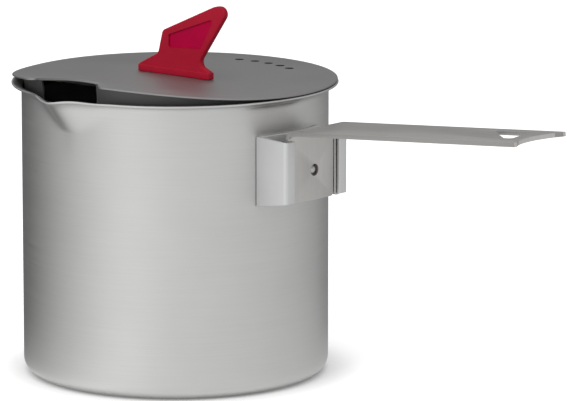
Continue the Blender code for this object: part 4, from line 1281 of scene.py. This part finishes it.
class CAMPING_POT_OT_stage(Operator):
    """Sets up the pale floor, the soft lamps, the light all round and the camera"""

    bl_idname = "camping_pot.stage"
    bl_label = "Studio"

    def execute(self, context):
        settings = context.scene.camping_pot_studio
        self.floor(settings)
        self.reflector()
        self.world(context, settings)
        key_place = around_camera(KEY_LAMP_ANGLE, KEY_LAMP_DISTANCE, KEY_LAMP_HEIGHT)
        lamp("key_lamp", key_place, KEY_LAMP_SIDE, settings.key_power)
        lamp("top_lamp", (0.0, 0.0, TOP_LAMP_HEIGHT), TOP_LAMP_SIDE, TOP_LAMP_POWER)
        self.camera(context)
        return {"FINISHED"}

    def floor(self, settings):
        """A pale floor with the pot's shadow and painted shade at its foot, that the camera sees
        as white.
        """
        half = settings.floor_size / 2
        shape = bmesh.new()
        corners = ((-half, -half), (half, -half), (half, half), (-half, half))
        shape.faces.new([shape.verts.new((x, y, FLOOR_LEVEL)) for x, y in corners])
        floor = as_object("studio_floor", shape)
        finish = Finish("pale_floor", FLOOR_COLOR, FLOOR_ROUGHNESS)
        finish.shader.inputs["Specular IOR Level"].default_value = 0.0
        clouds = finish.varied(finish.noise(FLOOR_CLOUDS, 2.0), FLOOR_MOTTLE)
        # Painted contact shadow: ambient occlusion darkens the floor's colour and its glow near
        # the pot.
        nearby = finish.node("ShaderNodeAmbientOcclusion", Distance=CONTACT_REACH)
        nearby.samples = CONTACT_SAMPLES
        painted_contact_shadow = finish.between(nearby.outputs["AO"], *CONTACT_OPEN, *PAINTED_CONTACT_SHADE)
        finish.shade(finish.math("MULTIPLY", clouds, painted_contact_shadow))
        glow = finish.node("ShaderNodeEmission")
        seen = finish.math("MULTIPLY", finish.seen_ray(), settings.floor_glow)
        finish.link(finish.math("MULTIPLY", seen, painted_contact_shadow), glow.inputs["Strength"])
        both = finish.node("ShaderNodeAddShader")
        finish.link(finish.shader.outputs["BSDF"], both.inputs[0])
        finish.link(glow.outputs["Emission"], both.inputs[1])
        finish.link(both.outputs["Shader"], finish.surface)
        floor.data.materials.append(finish.material)

    def reflector(self):
        """A ring of pale and dark card that only reflections see: it shapes the metal."""
        shape = bmesh.new()
        turns = spread(-180.0, 180.0, RING_COLUMNS)
        rings = [
            [shape.verts.new(around_camera(turn, radius, height)) for turn in turns]
            for radius, height in CARD_SECTION
        ]
        for low, high in zip(rings, rings[1:]):
            for i in range(RING_COLUMNS):
                j = (i + 1) % RING_COLUMNS
                shape.faces.new((low[i], low[j], high[j], high[i]))
        ring = as_object("card_ring", shape)
        finish = Finish("card_ring_light", CARD_COLOR, 1.0)
        turned_place = finish.node("ShaderNodeMapping")
        turned_place.inputs["Rotation"].default_value = (0.0, 0.0, math.pi / 2 - CAMERA_TURN[0])
        finish.link(finish.place, turned_place.inputs["Vector"])
        around = finish.node("ShaderNodeTexGradient", gradient_type="RADIAL")
        finish.link(turned_place.outputs["Vector"], around.inputs["Vector"])
        levels = finish.node("ShaderNodeValToRGB")
        ramp = levels.color_ramp
        ramp.interpolation = "B_SPLINE"
        for angle, level in RING_LEVELS:
            place = angle / 360.0 + 0.5
            mark = ramp.elements[0] if angle == RING_LEVELS[0][0] else ramp.elements.new(place)
            mark.position = place
            mark.color = (level, level, level, 1.0)
        ramp.elements.remove(ramp.elements[-1])
        finish.link(around.outputs["Fac"], levels.inputs["Fac"])
        height = finish.node("ShaderNodeSeparateXYZ")
        finish.link(finish.place, height.inputs["Vector"])
        above = finish.between(height.outputs["Z"], *CARD_FADE, 0.0, CARD_ABOVE)
        glow = finish.node("ShaderNodeEmission")
        strength = finish.math("MAXIMUM", levels.outputs["Color"], above)
        finish.link(strength, glow.inputs["Strength"])
        finish.link(glow.outputs["Emission"], finish.surface)
        ring.data.materials.append(finish.material)
        for ray in ("camera", "diffuse", "transmission", "volume_scatter", "shadow"):
            setattr(ring, f"visible_{ray}", False)

    def world(self, context, settings):
        """Light from all round, brighter on the camera's side, in front of a white background."""
        world = bpy.data.worlds.new("studio_light")
        world.use_nodes = True
        context.scene.world = world
        nodes = Nodes(world.node_tree)
        front = nodes.node("ShaderNodeVectorMath", operation="DOT_PRODUCT")
        front.inputs[1].default_value = around_camera(WORLD_FRONT, 1.0, 0.0)
        nodes.link(nodes.node("ShaderNodeTexCoord").outputs["Generated"], front.inputs[0])
        levels = [level * settings.around for level in WORLD_LEVELS]
        fade = nodes.between(front.outputs["Value"], *WORLD_FADE, *levels, ease="SMOOTHSTEP")
        pick = nodes.node("ShaderNodeMix")
        nodes.link(nodes.seen_ray(), pick.inputs["Factor"])
        nodes.link(fade, pick.inputs["A"])
        pick.inputs["B"].default_value = 1.0
        background = nodes.tree.nodes["Background"]
        background.inputs["Color"].default_value = (1.0, 1.0, 1.0, 1.0)
        nodes.link(pick.outputs["Result"], background.inputs["Strength"])
        context.scene.view_settings.view_transform = "Standard"

    def camera(self, context):
        """The camera of the picture, with a long lens."""
        data = bpy.data.cameras.new("photo_camera")
        data.sensor_width = SENSOR_WIDTH
        data.lens = CAMERA_LENS
        data.shift_x, data.shift_y = CAMERA_SHIFT
        data.clip_end = CAMERA_REACH
        camera = bpy.data.objects.new("photo_camera", data)
        context.scene.collection.objects.link(camera)
        azimuth, tilt, roll = CAMERA_TURN
        place = Matrix.Translation(CAMERA_PLACE)
        turn = Matrix.Rotation(azimuth, 4, "Z") @ Matrix.Rotation(tilt, 4, "X")
        camera.matrix_world = place @ turn @ Matrix.Rotation(roll, 4, "Z")
        context.scene.camera = camera


PIECES = (
    CAMPING_POT_OT_wall,
    CAMPING_POT_OT_bracket,
    CAMPING_POT_OT_rivets,
    CAMPING_POT_OT_latch_spring,
    CAMPING_POT_OT_handle,
    CAMPING_POT_OT_lid,
    CAMPING_POT_OT_lid_tab,
    CAMPING_POT_OT_stage,
)
SETTINGS = {
    "camping_pot": PotSettings,
    "camping_pot_handle": HandleSettings,
    "camping_pot_tab": TabSettings,
    "camping_pot_studio": StudioSettings,
}


class CAMPING_POT_PT_panel(Panel):
    """Lists the pieces and their settings"""

    bl_label = "Camping Pot"
    bl_idname = "CAMPING_POT_PT_panel"
    bl_space_type = "VIEW_3D"
    bl_region_type = "UI"
    bl_category = "Camping Pot"

    def draw(self, context):
        for name, group in SETTINGS.items():
            box = self.layout.box()
            for setting in group.__annotations__:
                box.prop(getattr(context.scene, name), setting)
        for piece in PIECES:
            self.layout.operator(piece.bl_idname)


def register():
    """Adds the settings, the operators and the panel."""
    for name, group in SETTINGS.items():
        bpy.utils.register_class(group)
        setattr(bpy.types.Scene, name, PointerProperty(type=group))
    for made in (*PIECES, CAMPING_POT_PT_panel):
        bpy.utils.register_class(made)


def unregister():
    """Takes away what register adds."""
    for made in (CAMPING_POT_PT_panel, *reversed(PIECES)):
        bpy.utils.unregister_class(made)
    for name, group in SETTINGS.items():
        delattr(bpy.types.Scene, name)
        bpy.utils.unregister_class(group)


def main():
    register()
    for piece in PIECES:
        group, name = piece.bl_idname.split(".")
        getattr(getattr(bpy.ops, group), name)()


if __name__ == "__main__":
    main()
